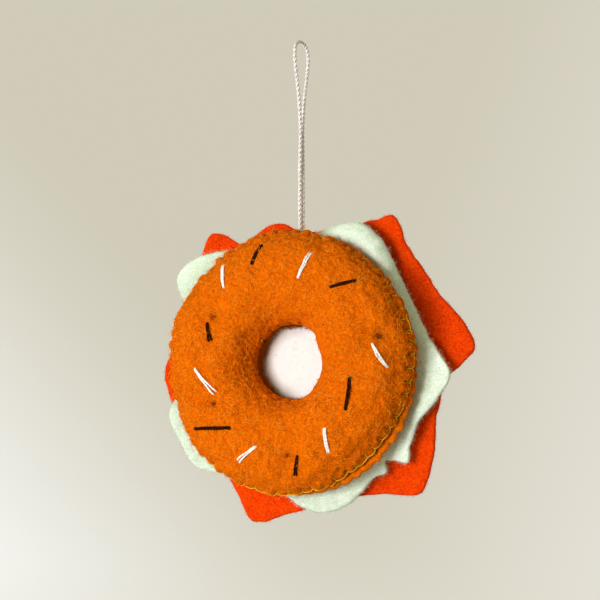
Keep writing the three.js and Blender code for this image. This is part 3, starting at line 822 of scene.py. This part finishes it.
def feltRing(name, look, seam, side, kind, material, steps, outerCount, tacked):
    # A whole felt as a closed mesh, and its outer face for the threads that are sewn on it. A crust takes the
    # tacks sharply; a crumb goes straight in at the hole, where its wall leans and carries painted shade.
    swell, seed, isCrumb = look[kind + "Swell"], look["seed"], kind == "crumb"
    top, isFace = lipTop + swell, tacked and kind == "crust"
    rim, hole = stitchTurns(roll["rimStitches"], seed), stitchTurns(roll["holeStitches"], seed + 1)
    count = roll["rimStitches"] * steps
    ends = np.concatenate([rim, [rim[0] + fullTurn]])
    turns = np.interp(np.arange(count) / steps, np.arange(len(ends)), ends)[:, None]
    outer, inner = feltProfile(swell, outerCount, roll["innerLines"], isCrumb)
    line = np.vstack([outer, inner])
    along, way = lengthsAlong(line), unit(np.gradient(line, axis=0))
    isOuter = (np.arange(len(line)) < len(outer)) * 1.0
    radius, out, allTurns = line[:, 0] + 0 * turns, line[:, 1] + 0 * turns, turns + 0 * line[:, 0]
    rimBulge, rimDent, rimDark = stitchedEdge(
        radius, allTurns, np.abs(along - along[len(outer) - 1]), rim, aroundBy(roll["pierced"], allTurns), 1)
    holeBulge, holeDent, holeDark = stitchedEdge(
        radius, allTurns, along, hole, roll["holeLegReach"], roll["holeStitchSize"])
    near, far = roll["edgeBand"]
    atRim = smoothStep(roll["radius"] - far, roll["radius"] - near, radius)
    atHole = 1 - smoothStep(roll["holeRadius"] + near, roll["holeRadius"] + far, radius)
    for at, bulge, hand, (scallop, notch) in ((atRim, rimBulge, 1, roll[kind + "Edge"]),
                                              (atHole, holeBulge, -1, roll["holeEdge"])):
        radius = radius + hand * at * (bulge * (scallop + notch) - notch)
    radius = shapedRing(radius, allTurns, kind + "Rim")
    lean = np.clip(out / top, 0, 1) * (1 - smoothStep(*roll["leanBand"], radius)) * isCrumb
    x, z = radius * np.cos(turns), radius * np.sin(turns)
    if tacked:
        out = out - tackedIn(x, z, out, top, 1.0 if isFace else tack["dull"])

    def placed():
        return np.stack([rollX + look["wallLean"][0] * lean + radius * np.cos(turns), seam + side * out,
                         rollZ + look["wallLean"][1] * lean + radius * np.sin(turns)], axis=-1)

    points, raised = placed(), smoothStep(*roll["raisedBand"], out)
    (lump, lumpSize), (crease, creaseSize), (nap, napSize) = roll["lumps"], roll["creases"], roll["nap"]
    change = raised * (lump * bumps(points, lumpSize, seed) + crease * bumps(points, creaseSize, seed + 3))
    change = change + isOuter * raised * nap * bumps(points, napSize, seed + 5, roll["napWaves"])
    change = change - isOuter * smoothStep(*roll["dentBand"], out) * (rimDent + holeDent)
    if isFace:
        change = change - isOuter * raised * seedDents(x, z)
    radius, out = radius - way[:, 1] * change, out + way[:, 0] * change
    points = placed()
    # Painted shade on the rim and on the slope into the hole, by turn and in random patches
    slopeShade = smoothStep(*roll["slopeShadeRimBand"], radius) * aroundBy(roll["slopeShadeRim"], allTurns)
    slopeShade = slopeShade + (1 - smoothStep(*roll["slopeShadeHoleBand"], radius)) * aroundBy(roll["slopeShadeHole"], allTurns)
    slopeShade = slopeShade * (1 + roll["slopeShadePatches"] * bumps(points, napSize, seed + 7))
    paintedShade = np.maximum(np.maximum(rimDark, holeDark), slopeShade)
    if isFace:
        paintedShade = np.maximum(paintedShade, darkAtTacks(x, z))
    if isCrumb:
        # Painted shade on the crumb's wall in the hole, except right at its seam
        atWall = 1 - smoothStep(*roll["wallBand"], radius)
        paintedShade = np.maximum(paintedShade, roll["darkest"] * atWall * smoothStep(*roll["wallDarkBand"], out))
        fuzz = isOuter * atWall * smoothStep(*roll["wallFuzzBand"], out)
    paintedShade = isOuter * np.clip(paintedShade, 0, roll["darkest"])
    if not isCrumb:
        fuzz = isOuter * smoothStep(*roll["fuzzBand"], out) * (1 - paintedShade) * smoothStep(*roll["fuzzFrom"], radius)
    piece = meshPiece(name, points, gridFaces(count, len(line), True, True), material,
                      {"fuzz": fuzz, "paintedShade": paintedShade})
    return piece, {"grid": points[:, :len(outer)], "out": outer[:, 1], "rim": rim, "hole": hole, "side": side}


# The golden blanket stitches. Their thread runs over the seam at a seat's height, lifted a little off the felt,
# and is drawn straight between the stitches by the share taut.
edgeThread = {
    "radius": 0.0002, "pitch": 0.0018, "step": 0.0003, "legRise": 0.00012, "legDive": 0.0007, "taut": 0.4,
    "rest": 0.00012, "legLines": 3, "rimSeat": 0.0011, "holeSeat": 0.0007, "holeLift": -0.0006,
    "rimLift": [(-100, 0.0003), (-32, 0.00034), (-18, 0.00015), (8, 0.0001), (18, 0.00014), (30, -0.00008),
                (110, -0.00012), (180, -0.00008), (235, 0.00008)],
}


def edgeGuide(face, edge):
    # The edge thread's line, and the way of the leg at each stitch
    grid, count, isRim = face["grid"], len(face["grid"]), edge == "rim"
    raised = np.nonzero(face["out"] > edgeThread[edge + "Seat"])[0]
    corner, hand = (raised[-1], -1) if isRim else (raised[0], 1)
    line, tip = grid[:, corner], grid[:, corner + hand * edgeThread["legLines"]]
    turns = np.arctan2(line[:, 2] - rollZ, line[:, 0] - rollX)
    at = np.sort([np.abs((turns - turn + math.pi) % fullTurn - math.pi).argmin() for turn in face[edge]])
    inward = unit(tip - line)
    around = np.stack([-np.sin(turns), 0 * turns, np.cos(turns)], axis=1)
    facing = np.cross(inward, around)
    facing *= np.sign(facing[:, 1] * face["side"])[:, None]
    chord = np.stack([np.interp(np.arange(count), np.r_[at[-1] - count, at, at[0] + count],
                                np.r_[line[at[-1], k], line[at, k], line[at[0], k]]) for k in range(3)], axis=1)
    lift = aroundBy(edgeThread["rimLift"], turns) if isRim else edgeThread["holeLift"]
    path = line + (chord - line) * edgeThread["taut"] + facing * (edgeThread["rest"] + lift + 0 * turns)[:, None]
    stitch = np.zeros(count)
    stitch[at] = 1
    return guideMesh([path], True, {"stitch": stitch, "inward": inward, "facing": facing})


def sewEdge(name, face, edge, node, seed):
    piece = grown(name, edgeGuide(face, edge), blanketStitch, {
        "Thread Radius": edgeThread["radius"], "Plies": 2.0, "Twist Pitch": edgeThread["pitch"],
        "Step": edgeThread["step"], "Leg Length": roll["legReach" if edge == "rim" else "holeLegReach"],
        "Leg Rise": edgeThread["legRise"], "Leg Dive": edgeThread["legDive"], "Seed": seed, "Material": goldThread})
    settle(piece, "ornament", "gold_thread", node)


stuffing = {"inset": 0.0006, "room": 0.0005, "turns": 180, "eachLine": 8, "lumpShare": 0.05, "lumpSize": 0.006}


def stuffingRing(name, look, seam, side, node, tacked):
    # Fibre fill packed between the two felts
    inset, room = roll["felt"] + stuffing["inset"], stuffing["room"]
    lower = dome(look["crumbSwell"] - room, 0, inset)[::-1] * (1, -1)
    section = np.vstack([dome(look["crustSwell"] - room, 0, inset), lower[1:-1]])[::stuffing["eachLine"]]
    turns = evenTurns(stuffing["turns"])[:, None]
    radius, out = section[:, 0] + 0 * turns, section[:, 1] + 0 * turns
    radius = shapedRing(radius, turns + 0 * radius, "crustRim")
    x, z = radius * np.cos(turns), radius * np.sin(turns)
    if tacked:
        out = out - np.sign(out) * tackedIn(x, z, np.abs(out), lipTop + look["crustSwell"], tack["dull"])
    lumps = np.abs(bumps(np.stack([x, out, z], axis=-1), stuffing["lumpSize"], look["seed"]))
    lumps = 1 - stuffing["lumpShare"] * lumps
    points = np.stack([rollX + x, seam + side * out * lumps, rollZ + z], axis=-1)
    piece = meshPiece(name, points, gridFaces(len(turns), len(section), True, True), fibreFill)
    settle(piece, "ornament", "stuffing", node)


crustFuzz = {"Density": 1e6, "Length": 0.0014, "Thickness": 0.00005, "Curl": 0.0012, "Lift": 0.1, "Seed": 21}
crumbFuzz = {"Density": 8e6, "Length": 0.0016, "Thickness": 0.00003, "Curl": 0.0010, "Lift": 0.5, "Seed": 23}
crustCurls = {"Density": 2.5e5, "Length": 0.003, "Thickness": 0.00006, "Curl": 0.0028, "Lift": 0.02, "Seed": 22}


def makeRoll(place, look, seam, side, tacked):
    crust, face = feltRing(f"{place}_crust_felt", look, seam, side, "crust", crustFelt, look["stitchSteps"],
                           look["crustLines"], tacked)
    crumb = feltRing(f"{place}_crumb_felt", look, seam, -side, "crumb", crumbFelt, crumbGrid["stitchSteps"],
                     crumbGrid["lines"], tacked)[0]
    addFuzz(f"{place}_crumb_fuzz", crumb, "crumb_felt", crumbFibre, crumbFuzz)
    for piece, kind in ((crust, "crust"), (crumb, "crumb")):
        settle(piece, "ornament", f"{kind}_felt", f"{place}_{kind}")
    stuffingRing(f"{place}_fibre_fill", look, seam, side, f"{place}_stuffing", tacked)
    for extra, edge in enumerate(("rim", "hole")):
        sewEdge(f"{place}_{edge}_stitches", face, edge, f"{place}_{edge}_thread", look["seed"] + extra)
    addFuzz(f"{place}_crust_fuzz", crust, "crust_felt", crustFibre, crustFuzz)
    addFuzz(f"{place}_crust_curls", crust, "crust_felt", curlFibre, crustCurls)
    print(place, "roll made")
    return face["grid"].reshape(-1, 3)


frontFace = makeRoll("front", frontRoll, frontSeam, -1, True)
frontFace = frontFace[frontFace[:, 1] < frontSeam - lipTop * 0.8]
makeRoll("back", backRoll, backSeam, 1, False)


# Seeds and tacks, sewn on the front crust
strandStep = 0.0002


def surfaceAt(x, z):
    # The front crust's outer face at a place, read from the raised points of its grid
    away = (frontFace[:, 0] - rollX - x) ** 2 + (frontFace[:, 2] - rollZ - z) ** 2
    near = np.argpartition(away, 4)[:4]
    weight = 1 / (away[near] + 1e-9)
    return float((frontFace[near, 1] * weight).sum() / weight.sum())


def strand(start, way, length, spreads, look):
    # A strand from start along way that dives into the felt at both ends. It is moved aside by its spreads at its
    # start, middle and end.
    aside = np.array([-way[1], way[0]])
    points = []
    for share in np.linspace(0, 1, look["points"]):
        x, z = start + way * length * share + aside * np.interp(share, [0, 0.5, 1], spreads)
        over = look["lift"] + look["arch"] * math.sin(math.pi * share)
        points.append((rollX + x, surfaceAt(x, z) - over, rollZ + z))
    tuck, dive = np.array([way[0], 0, way[1]]) * look["tuck"], np.array([0, look["dive"], 0])
    return curveThrough([points[0] - tuck + dive, *points, points[-1] + tuck + dive], strandStep)


def sew(name, lines, look, material, slot, node):
    piece = grown(name, guideMesh(lines), twistedThread, {
        "Thread Radius": look["radius"], "Plies": 2.0, "Twist Pitch": look["pitch"], "Step": look["step"],
        "Material": material})
    settle(piece, "ornament", slot, node)


# For each seed, half the distance between its two strands at its start, middle and end, in millimetres
whiteSpreads = [(0.3, 0.3, 0.12), (0.4, 0.36, 0.15), (0.1, 0.4, 0.15), (0.12, 0.3, 0.75), (0.2, 0.3, 0.6),
                (0.3, 0.34, 0.3)]
blackSpreads = [(0.15, 0.3, 0.35), (0.15, 0.3, 0.2), (0.2, 0.3, 0.55), (0.3, 0.36, 0.2), (0.25, 0.3, 0.3),
                (0.15, 0.36, 0.45)]


def sewSeeds(colour, allShares, allSpreads, material):
    for index, (shares, spreads) in enumerate(zip(allShares, allSpreads), 1):
        ends = np.array(shares).reshape(2, 2) * roll["radius"]
        length = np.linalg.norm(ends[1] - ends[0])
        lines = [strand(ends[0], unit(ends[1] - ends[0]), length, np.array(spreads) * 0.001 * hand, seedStitch)
                 for hand in (-1, 1)]
        sew(f"{colour}_seed_stitch_{index}", lines, seedStitch, material, f"{colour}_thread",
            f"{colour}_seed_{index}")


def sewTacks():
    for index, (shareX, shareZ) in enumerate(tackShares, 1):
        lines = []
        for hand, slant in zip((1, -1), tack["slants"]):
            turn = math.atan2(shareZ, shareX) + math.pi / 2 + slant
            way = np.array([math.cos(turn), math.sin(turn)])
            start = np.array([shareX, shareZ]) * roll["radius"] - way * tack["bar"] / 2
            lines.append(strand(start, way, tack["bar"], [hand * tack["spread"]] * 3, tack))
        sew(f"tack_stitch_{index}", lines, tack, tackThread, "gold_thread", f"tack_thread_{index}")


sewSeeds("white", whiteSeedShares, whiteSpreads, whiteThread)
sewSeeds("black", blackSeedShares, blackSpreads, blackThread)
sewTacks()
print("seeds and tacks sewn")


# The flat felts of the filling, with turns and radii as for the roll
filling = {
    "creamRadius": 0.038, "rippleSpan": 0.014, "rippleHeight": 0.0024, "rippleWaves": 5, "felt": 0.002,
    "gap": 0.0003, "pushBand": (0.037, 0.046), "looseBand": (0.036, 0.048), "swaySize": 0.016,
    "fineSway": 0.0001, "fineSize": 0.0045, "edgeRipple": 0.00009, "edgeSize": 0.0035, "edgeCircle": 0.05,
    "outlineStretch": 20, "outlineStep": 0.004, "firstShare": 0.02, "denseFrom": 0.62, "edgeLines": 7,
}


def outlineOf(node):
    # How far the cut felt reaches at each turn, read from the frame's solid
    places = np.array([v.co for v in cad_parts[node].data.vertices], float)
    x, z = places[:, 0] - rollX, places[:, 2] - rollZ
    turns, reach = np.arctan2(z, x), np.hypot(x, z)
    order = np.argsort(turns)
    turns, reach = turns[order], reach[order]
    groups = np.concatenate([[0], np.cumsum(np.diff(turns) > 1e-4)])
    knots = [(turns[groups == g].mean(), reach[groups == g].max()) for g in range(groups[-1] + 1)]
    return [k for k in knots if k[1] > filling["creamRadius"] * 0.5]


def smoothOutline(knots, turns):
    # Reach at any turn, curved smoothly through the knots of a closed outline
    around = [(t - fullTurn, r) for t, r in knots[-4:]] + knots + [(t + fullTurn, r) for t, r in knots[:4]]
    stretch = filling["outlineStretch"]
    dense = curveThrough([(t, r * stretch, 0) for t, r in around], filling["outlineStep"])
    return np.interp(turns, dense[:, 0], dense[:, 1] / stretch)


def setBack(x, z, edgeAway, look):
    # How far the felt lies behind its flat place: its waves beyond the roll, and its edge where that curls back
    turns, away = np.arctan2(z, x), np.hypot(x, z)
    growth = smoothStep(filling["creamRadius"], filling["creamRadius"] + filling["rippleSpan"], away)
    back = growth * (look["droop"] + filling["rippleHeight"] * np.sin(filling["rippleWaves"] * turns))
    back = back + smoothStep(*filling["pushBand"], away) * aroundBy(look["push"], turns)
    back = back + np.clip(1 - edgeAway / look["curlReach"], 0, 1) ** 2 * aroundBy(look["curl"], turns)
    flat = np.stack([x, 0 * x, z], axis=-1)
    sway = look["sway"] * bumps(flat, filling["swaySize"], look["seed"] + 1)
    sway = sway + filling["fineSway"] * bumps(flat, filling["fineSize"], look["seed"] + 2)
    return back + smoothStep(*filling["looseBand"], away) * sway


def cutFelt(name, look):
    # One felt, flat between the rolls and free beyond them, with a soft cut edge. Its front takes painted shade in a
    # band.
    turns = np.linspace(-math.pi, math.pi, look["turns"], endpoint=False)
    around = np.stack([np.cos(turns), 0 * turns, np.sin(turns)], axis=1)
    reach = smoothOutline(outlineOf(look["node"]), turns) + aroundBy(look["trim"], turns)
    reach = reach + filling["edgeRipple"] * bumps(around * filling["edgeCircle"], filling["edgeSize"], look["seed"])
    half, dense = look["thickness"] / 2, filling["denseFrom"]
    inner = np.linspace(filling["firstShare"], dense, look["rings"] // 3, endpoint=False)
    shares = np.concatenate([inner, np.linspace(dense, 1, look["rings"] - len(inner))])
    rounding = np.linspace(-math.pi / 2, math.pi / 2, filling["edgeLines"] + 2)[1:-1]
    profile = [(share, -1.0, 0.0) for share in shares] + [(1, math.sin(a), math.cos(a)) for a in rounding]
    profile += [(share, 1.0, 0.0) for share in shares[::-1]]
    tones, (toneFrom, toneTo, fadeFrom, fadeTo) = aroundBy(look["tones"], turns), look["toned"]
    grid, fuzz, paintedShade = [], [], []
    for share, level, push in profile:
        radius = (reach - half) * share + half * push
        x, z = radius * around[:, 0], radius * around[:, 2]
        y = look["frontY"] + filling["felt"] / 2 + level * half + setBack(x, z, reach - radius, look)
        grid.append(np.stack([rollX + x, y, rollZ + z], axis=1))
        fuzz.append(look["fuzzAt"](radius) * (look["edgeFuzz"] if push else 1))
        # Painted shade on the front face, in a band of radius and by turn
        toned = smoothStep(toneFrom, toneTo, radius) * (1 - smoothStep(fadeFrom, fadeTo, radius))
        paintedShade.append(tones * toned * (level < 0))
    grid, fuzz, paintedShade = np.array(grid).transpose(1, 0, 2), np.array(fuzz).T, np.array(paintedShade).T
    count, columns = grid.shape[:2]
    faces = gridFaces(count, columns, True, False)
    front, back = count * columns, count * columns + 1
    for i in range(count):
        here, beside = i * columns, (i + 1) % count * columns
        faces += [(front, beside, here), (back, here + columns - 1, beside + columns - 1)]
    points = np.vstack([grid.reshape(-1, 3), grid[:, 0].mean(axis=0), grid[:, -1].mean(axis=0)])
    marks = {"fuzz": np.append(fuzz, [0, 0]), "paintedShade": np.append(paintedShade, [0, 0])}
    felt = meshPiece(name + "_felt", points, faces, look["material"], marks)
    settle(felt, "ornament", look["slot"], look["node"])
    addFuzz(name + "_fuzz", felt, look["slot"], look["fibre"], look["fuzz"])


def freePart(away):
    return smoothStep(0.038, 0.042, away)


def middlePart(away):
    return 1 - smoothStep(0.014, 0.019, away)


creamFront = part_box("cream_cheese")[0].y
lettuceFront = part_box("cream_cheese")[1].y + filling["gap"]
salmonFront = lettuceFront + filling["felt"] + filling["gap"]
straight = [(0, 0.0)]
evenFelt = {"droop": 0, "trim": straight, "push": straight, "curl": straight, "curlReach": 0.004}
freeFelt = evenFelt | {"turns": 540, "rings": 44, "thickness": 0.0017, "sway": 0.0002, "edgeFuzz": 16.0,
                       "fuzzAt": freePart}
cutFelt("cream", evenFelt | {
    "node": "cream_cheese", "slot": "cream_felt", "material": creamFelt, "fibre": creamFibre, "frontY": creamFront,
    "turns": 200, "rings": 90, "thickness": 0.0018, "seed": 31, "sway": 0, "edgeFuzz": 1.0, "fuzzAt": middlePart,
    # Painted shade on the cream inside the hole, at its left and top edge
    "toned": (0.0072, 0.0122, 0.018, 0.022),
    "tones": [(0, 0.0), (60, 0.0), (95, 0.38), (150, 0.74), (200, 0.74), (245, 0.42), (285, 0.0)],
    "fuzz": {"Density": 8e5, "Length": 0.0016, "Thickness": 0.00002, "Curl": 0.0012, "Lift": 0.1, "Seed": 32}})
cutFelt("lettuce", freeFelt | {
    "node": "lettuce", "slot": "lettuce_felt", "material": lettuceFelt, "fibre": lettuceFibre, "frontY": lettuceFront,
    # Painted shade beside the roll's rim, mostly on the left and lower left
    "seed": 41, "toned": (0.030, 0.036, 0.0475, 0.0575),
    "tones": [(-60, 0.0), (50, 0.0), (105, 0.12), (150, 0.46), (185, 0.38), (215, 0.2), (255, 0.35), (280, 0.15)],
    "trim": [(-70, 0.0004), (-57, 0.0), (-51, 0.0019), (-47.5, -0.0020), (-43, -0.0008), (-28, 0.0006),
             (-20, 0.0014), (-10, -0.0004), (20, 0.0), (60, -0.0002), (70, -0.0009), (82, -0.0009), (100, 0.0),
             (190, 0.0), (199, 0.0012), (210, -0.0014), (223, 0.0008), (240, 0.0012), (256, 0.0)],
    "push": [(-120, -0.0005), (-80, -0.0008), (-45, -0.0015), (-10, -0.0005), (18, -0.0028), (45, -0.0030),
             (65, -0.0038), (88, -0.0035), (115, -0.0008), (150, -0.0020), (185, -0.0008)],
    "curl": [(-60, 0.0003), (-22, 0.0003), (-4, -0.0010), (15, 0.0022), (45, 0.0036), (70, 0.0022), (100, 0.0004),
             (200, 0.0003)],
    "curlReach": 0.0055,
    "fuzz": {"Density": 3.2e5, "Length": 0.0012, "Thickness": 0.00002, "Curl": 0.0011, "Lift": 0.5, "Seed": 42}})
cutFelt("salmon", freeFelt | {
    "node": "salmon", "slot": "salmon_felt", "material": salmonFelt, "fibre": salmonFibre, "frontY": salmonFront,
    # Painted shadow of the lettuce's edge, on the right and upper right
    "seed": 51, "droop": 0.0016, "toned": (0.030, 0.036, 0.0465, 0.055),
    "tones": [(-45, 0.0), (-16, 0.0), (0, 0.12), (14, 0.28), (40, 0.36), (62, 0.3), (80, 0.0), (200, 0.0)],
    "trim": [(-100, 0.0003), (-90, 0.0013), (-80, 0.0), (-25, 0.0), (-18, 0.0008), (-8, 0.0), (4, 0.0007),
             (25, 0.0007), (40, 0.0006), (50, 0.0), (56, -0.0004), (61, -0.0017), (67, -0.0018), (75, -0.0008),
             (92, -0.0005), (105, -0.0005), (115, -0.0010), (122, -0.0014), (132, -0.0014), (145, 0.0),
             (165, 0.0), (178, -0.0011), (202, -0.0011), (215, 0.0)],
    "push": [(-90, 0.0), (-50, -0.001), (-20, 0.0008), (18, -0.001), (55, 0.0014), (90, -0.001), (130, 0.0),
             (180, 0.0)],
    "fuzz": {"Density": 3.2e5, "Length": 0.0008, "Thickness": 0.00002, "Curl": 0.001, "Lift": 0.45, "Seed": 52}})
print("filling laid")


# Studio: a pale wall and floor, a broad soft light a little left of the front, a weaker one behind, and a fill
studio = {
    "floorBelow": 0.3, "wallBehind": 0.7, "half": 2.5, "cove": 0.25, "lampColour": (1.0, 0.985, 0.96),
    "keyPower": 9.5, "keyAt": (-21, -5), "keyAway": 1.0, "keySize": 0.48,
    "backPower": 2.6, "backAt": (180, 34), "backAway": 0.6, "backSize": 0.5,
    "fill": 0.43, "fillColour": (1.0, 0.985, 0.62),
    "room": (0.72, 0.69, 0.61), "floor": (0.50, 0.48, 0.45), "floorGlow": 0.42,
    # The wall's tones are painted light, a glow the camera sees, brightest at the lower left
    "wallMiddle": (0.635, 0.60, 0.485), "wallCorner": (0.98, 0.985, 0.95), "wallRight": (0.835, 0.80, 0.735),
    "middleX": -0.30, "middleZ": 0.01, "span": 0.21,
    "rightSlant": -0.45, "rightBand": (0.1, 2.1), "cornerBand": (-0.3, -2.7), "paintRise": 0.4,
}


def hangLamp(name, kind):
    # A soft square lamp that shines on the roll and isn't seen itself
    data = bpy.data.lights.new(name, "AREA")
    data.energy, data.size, data.color = studio[kind + "Power"], studio[kind + "Size"], studio["lampColour"]
    lamp = standOff(name, data, Vector((rollX, 0, rollZ)), awayFrom(*studio[kind + "At"]), studio[kind + "Away"])
    lamp.visible_camera = False


def seenRays(tree):
    # 1 where a ray shows a surface: straight, in a gloss or through something clear
    path = addNode(tree, "ShaderNodeLightPath").outputs
    return mathNode(tree, "MAXIMUM", path["Is Camera Ray"],
                    mathNode(tree, "MAXIMUM", path["Is Glossy Ray"], path["Is Transmission Ray"]))


def eitherShader(tree, share, first, second):
    return outOf(tree, "ShaderNodeMixShader", {0: share, 1: first, 2: second})


def makeStudio():
    world = bpy.data.worlds.new("Room")
    scene.world = world
    world.use_nodes = True
    tree = world.node_tree
    fill = tree.nodes["Background"]
    fill.inputs["Color"].default_value = (*studio["fillColour"], 1)
    fill.inputs["Strength"].default_value = studio["fill"]
    room = outOf(tree, "ShaderNodeBackground", {"Color": (*studio["room"], 1)})
    tree.links.new(eitherShader(tree, seenRays(tree), fill.outputs[0], room),
                   tree.nodes["World Output"].inputs["Surface"])
    hangLamp("Key", "key")
    hangLamp("Back light", "back")
    half, floorZ, wallY, cove = studio["half"], rollZ - studio["floorBelow"], studio["wallBehind"], studio["cove"]
    bend = [(wallY - cove + cove * math.sin(a), floorZ + cove - cove * math.cos(a))
            for a in np.linspace(0, math.pi / 2, 9)]
    profile = [(wallY, half), *bend[::-1], (-half, floorZ)]
    mesh = makeMesh("backdrop", [(x, y, z) for y, z in profile for x in (-half, half)], [],
                    gridFaces(len(profile), 2, False, False), {})
    mesh.materials.append(wallMaterial(floorZ + cove * studio["paintRise"], floorZ + cove))
    asPiece("backdrop", mesh)
    print("studio lit")


def wallMaterial(floorTop, wallFoot):
    # Pale paint that takes the shadow on the floor; on the wall the camera sees a graded glow of painted light
    material, tree, shader, place = plainShader("backdrop_paint", 0.9, 0.0, (1, 1, 1), 0.5)
    shader.inputs["Base Color"].default_value = (*studio["floor"], 1)
    place = addNode(tree, "ShaderNodeSeparateXYZ", {0: place}).outputs
    span, middleX, middleZ = studio["span"], studio["middleX"], studio["middleZ"]

    def soft(value, low, high):
        return rangeNode(tree, value, low, high, interpolation_type="SMOOTHSTEP")

    lowRight = mathNode(tree, "MULTIPLY_ADD", place["Z"], studio["rightSlant"], place["X"])
    # Painted light: brighter to the right, brightest towards the lower left corner
    toRight = soft(lowRight, *(middleX + span * share for share in studio["rightBand"]))
    slanted = mathNode(tree, "ADD", place["X"], place["Z"])
    toCorner = soft(slanted, *(middleX + middleZ + span * share for share in studio["cornerBand"]))
    tone = mixed(tree, toCorner, mixed(tree, toRight, studio["wallMiddle"], studio["wallRight"]), studio["wallCorner"])
    glow = outOf(tree, "ShaderNodeEmission", {"Color": tone})
    isSeen = seenRays(tree)
    floorGlow = outOf(tree, "ShaderNodeEmission", {
        "Color": (*studio["room"], 1), "Strength": times(tree, isSeen, studio["floorGlow"])})
    floor = outOf(tree, "ShaderNodeAddShader", {0: shader.outputs[0], 1: floorGlow})
    onWall = times(tree, isSeen, soft(place["Z"], floorTop, wallFoot))
    front = eitherShader(tree, onWall, floor, glow)
    # From behind or below, the camera looks through the wall and the floor
    behind = times(tree, isSeen, addNode(tree, "ShaderNodeNewGeometry").outputs["Backfacing"])
    both = eitherShader(tree, behind, front, outOf(tree, "ShaderNodeBsdfTransparent"))
    tree.links.new(both, tree.nodes["Material Output"].inputs["Surface"])
    return material


makeStudio()
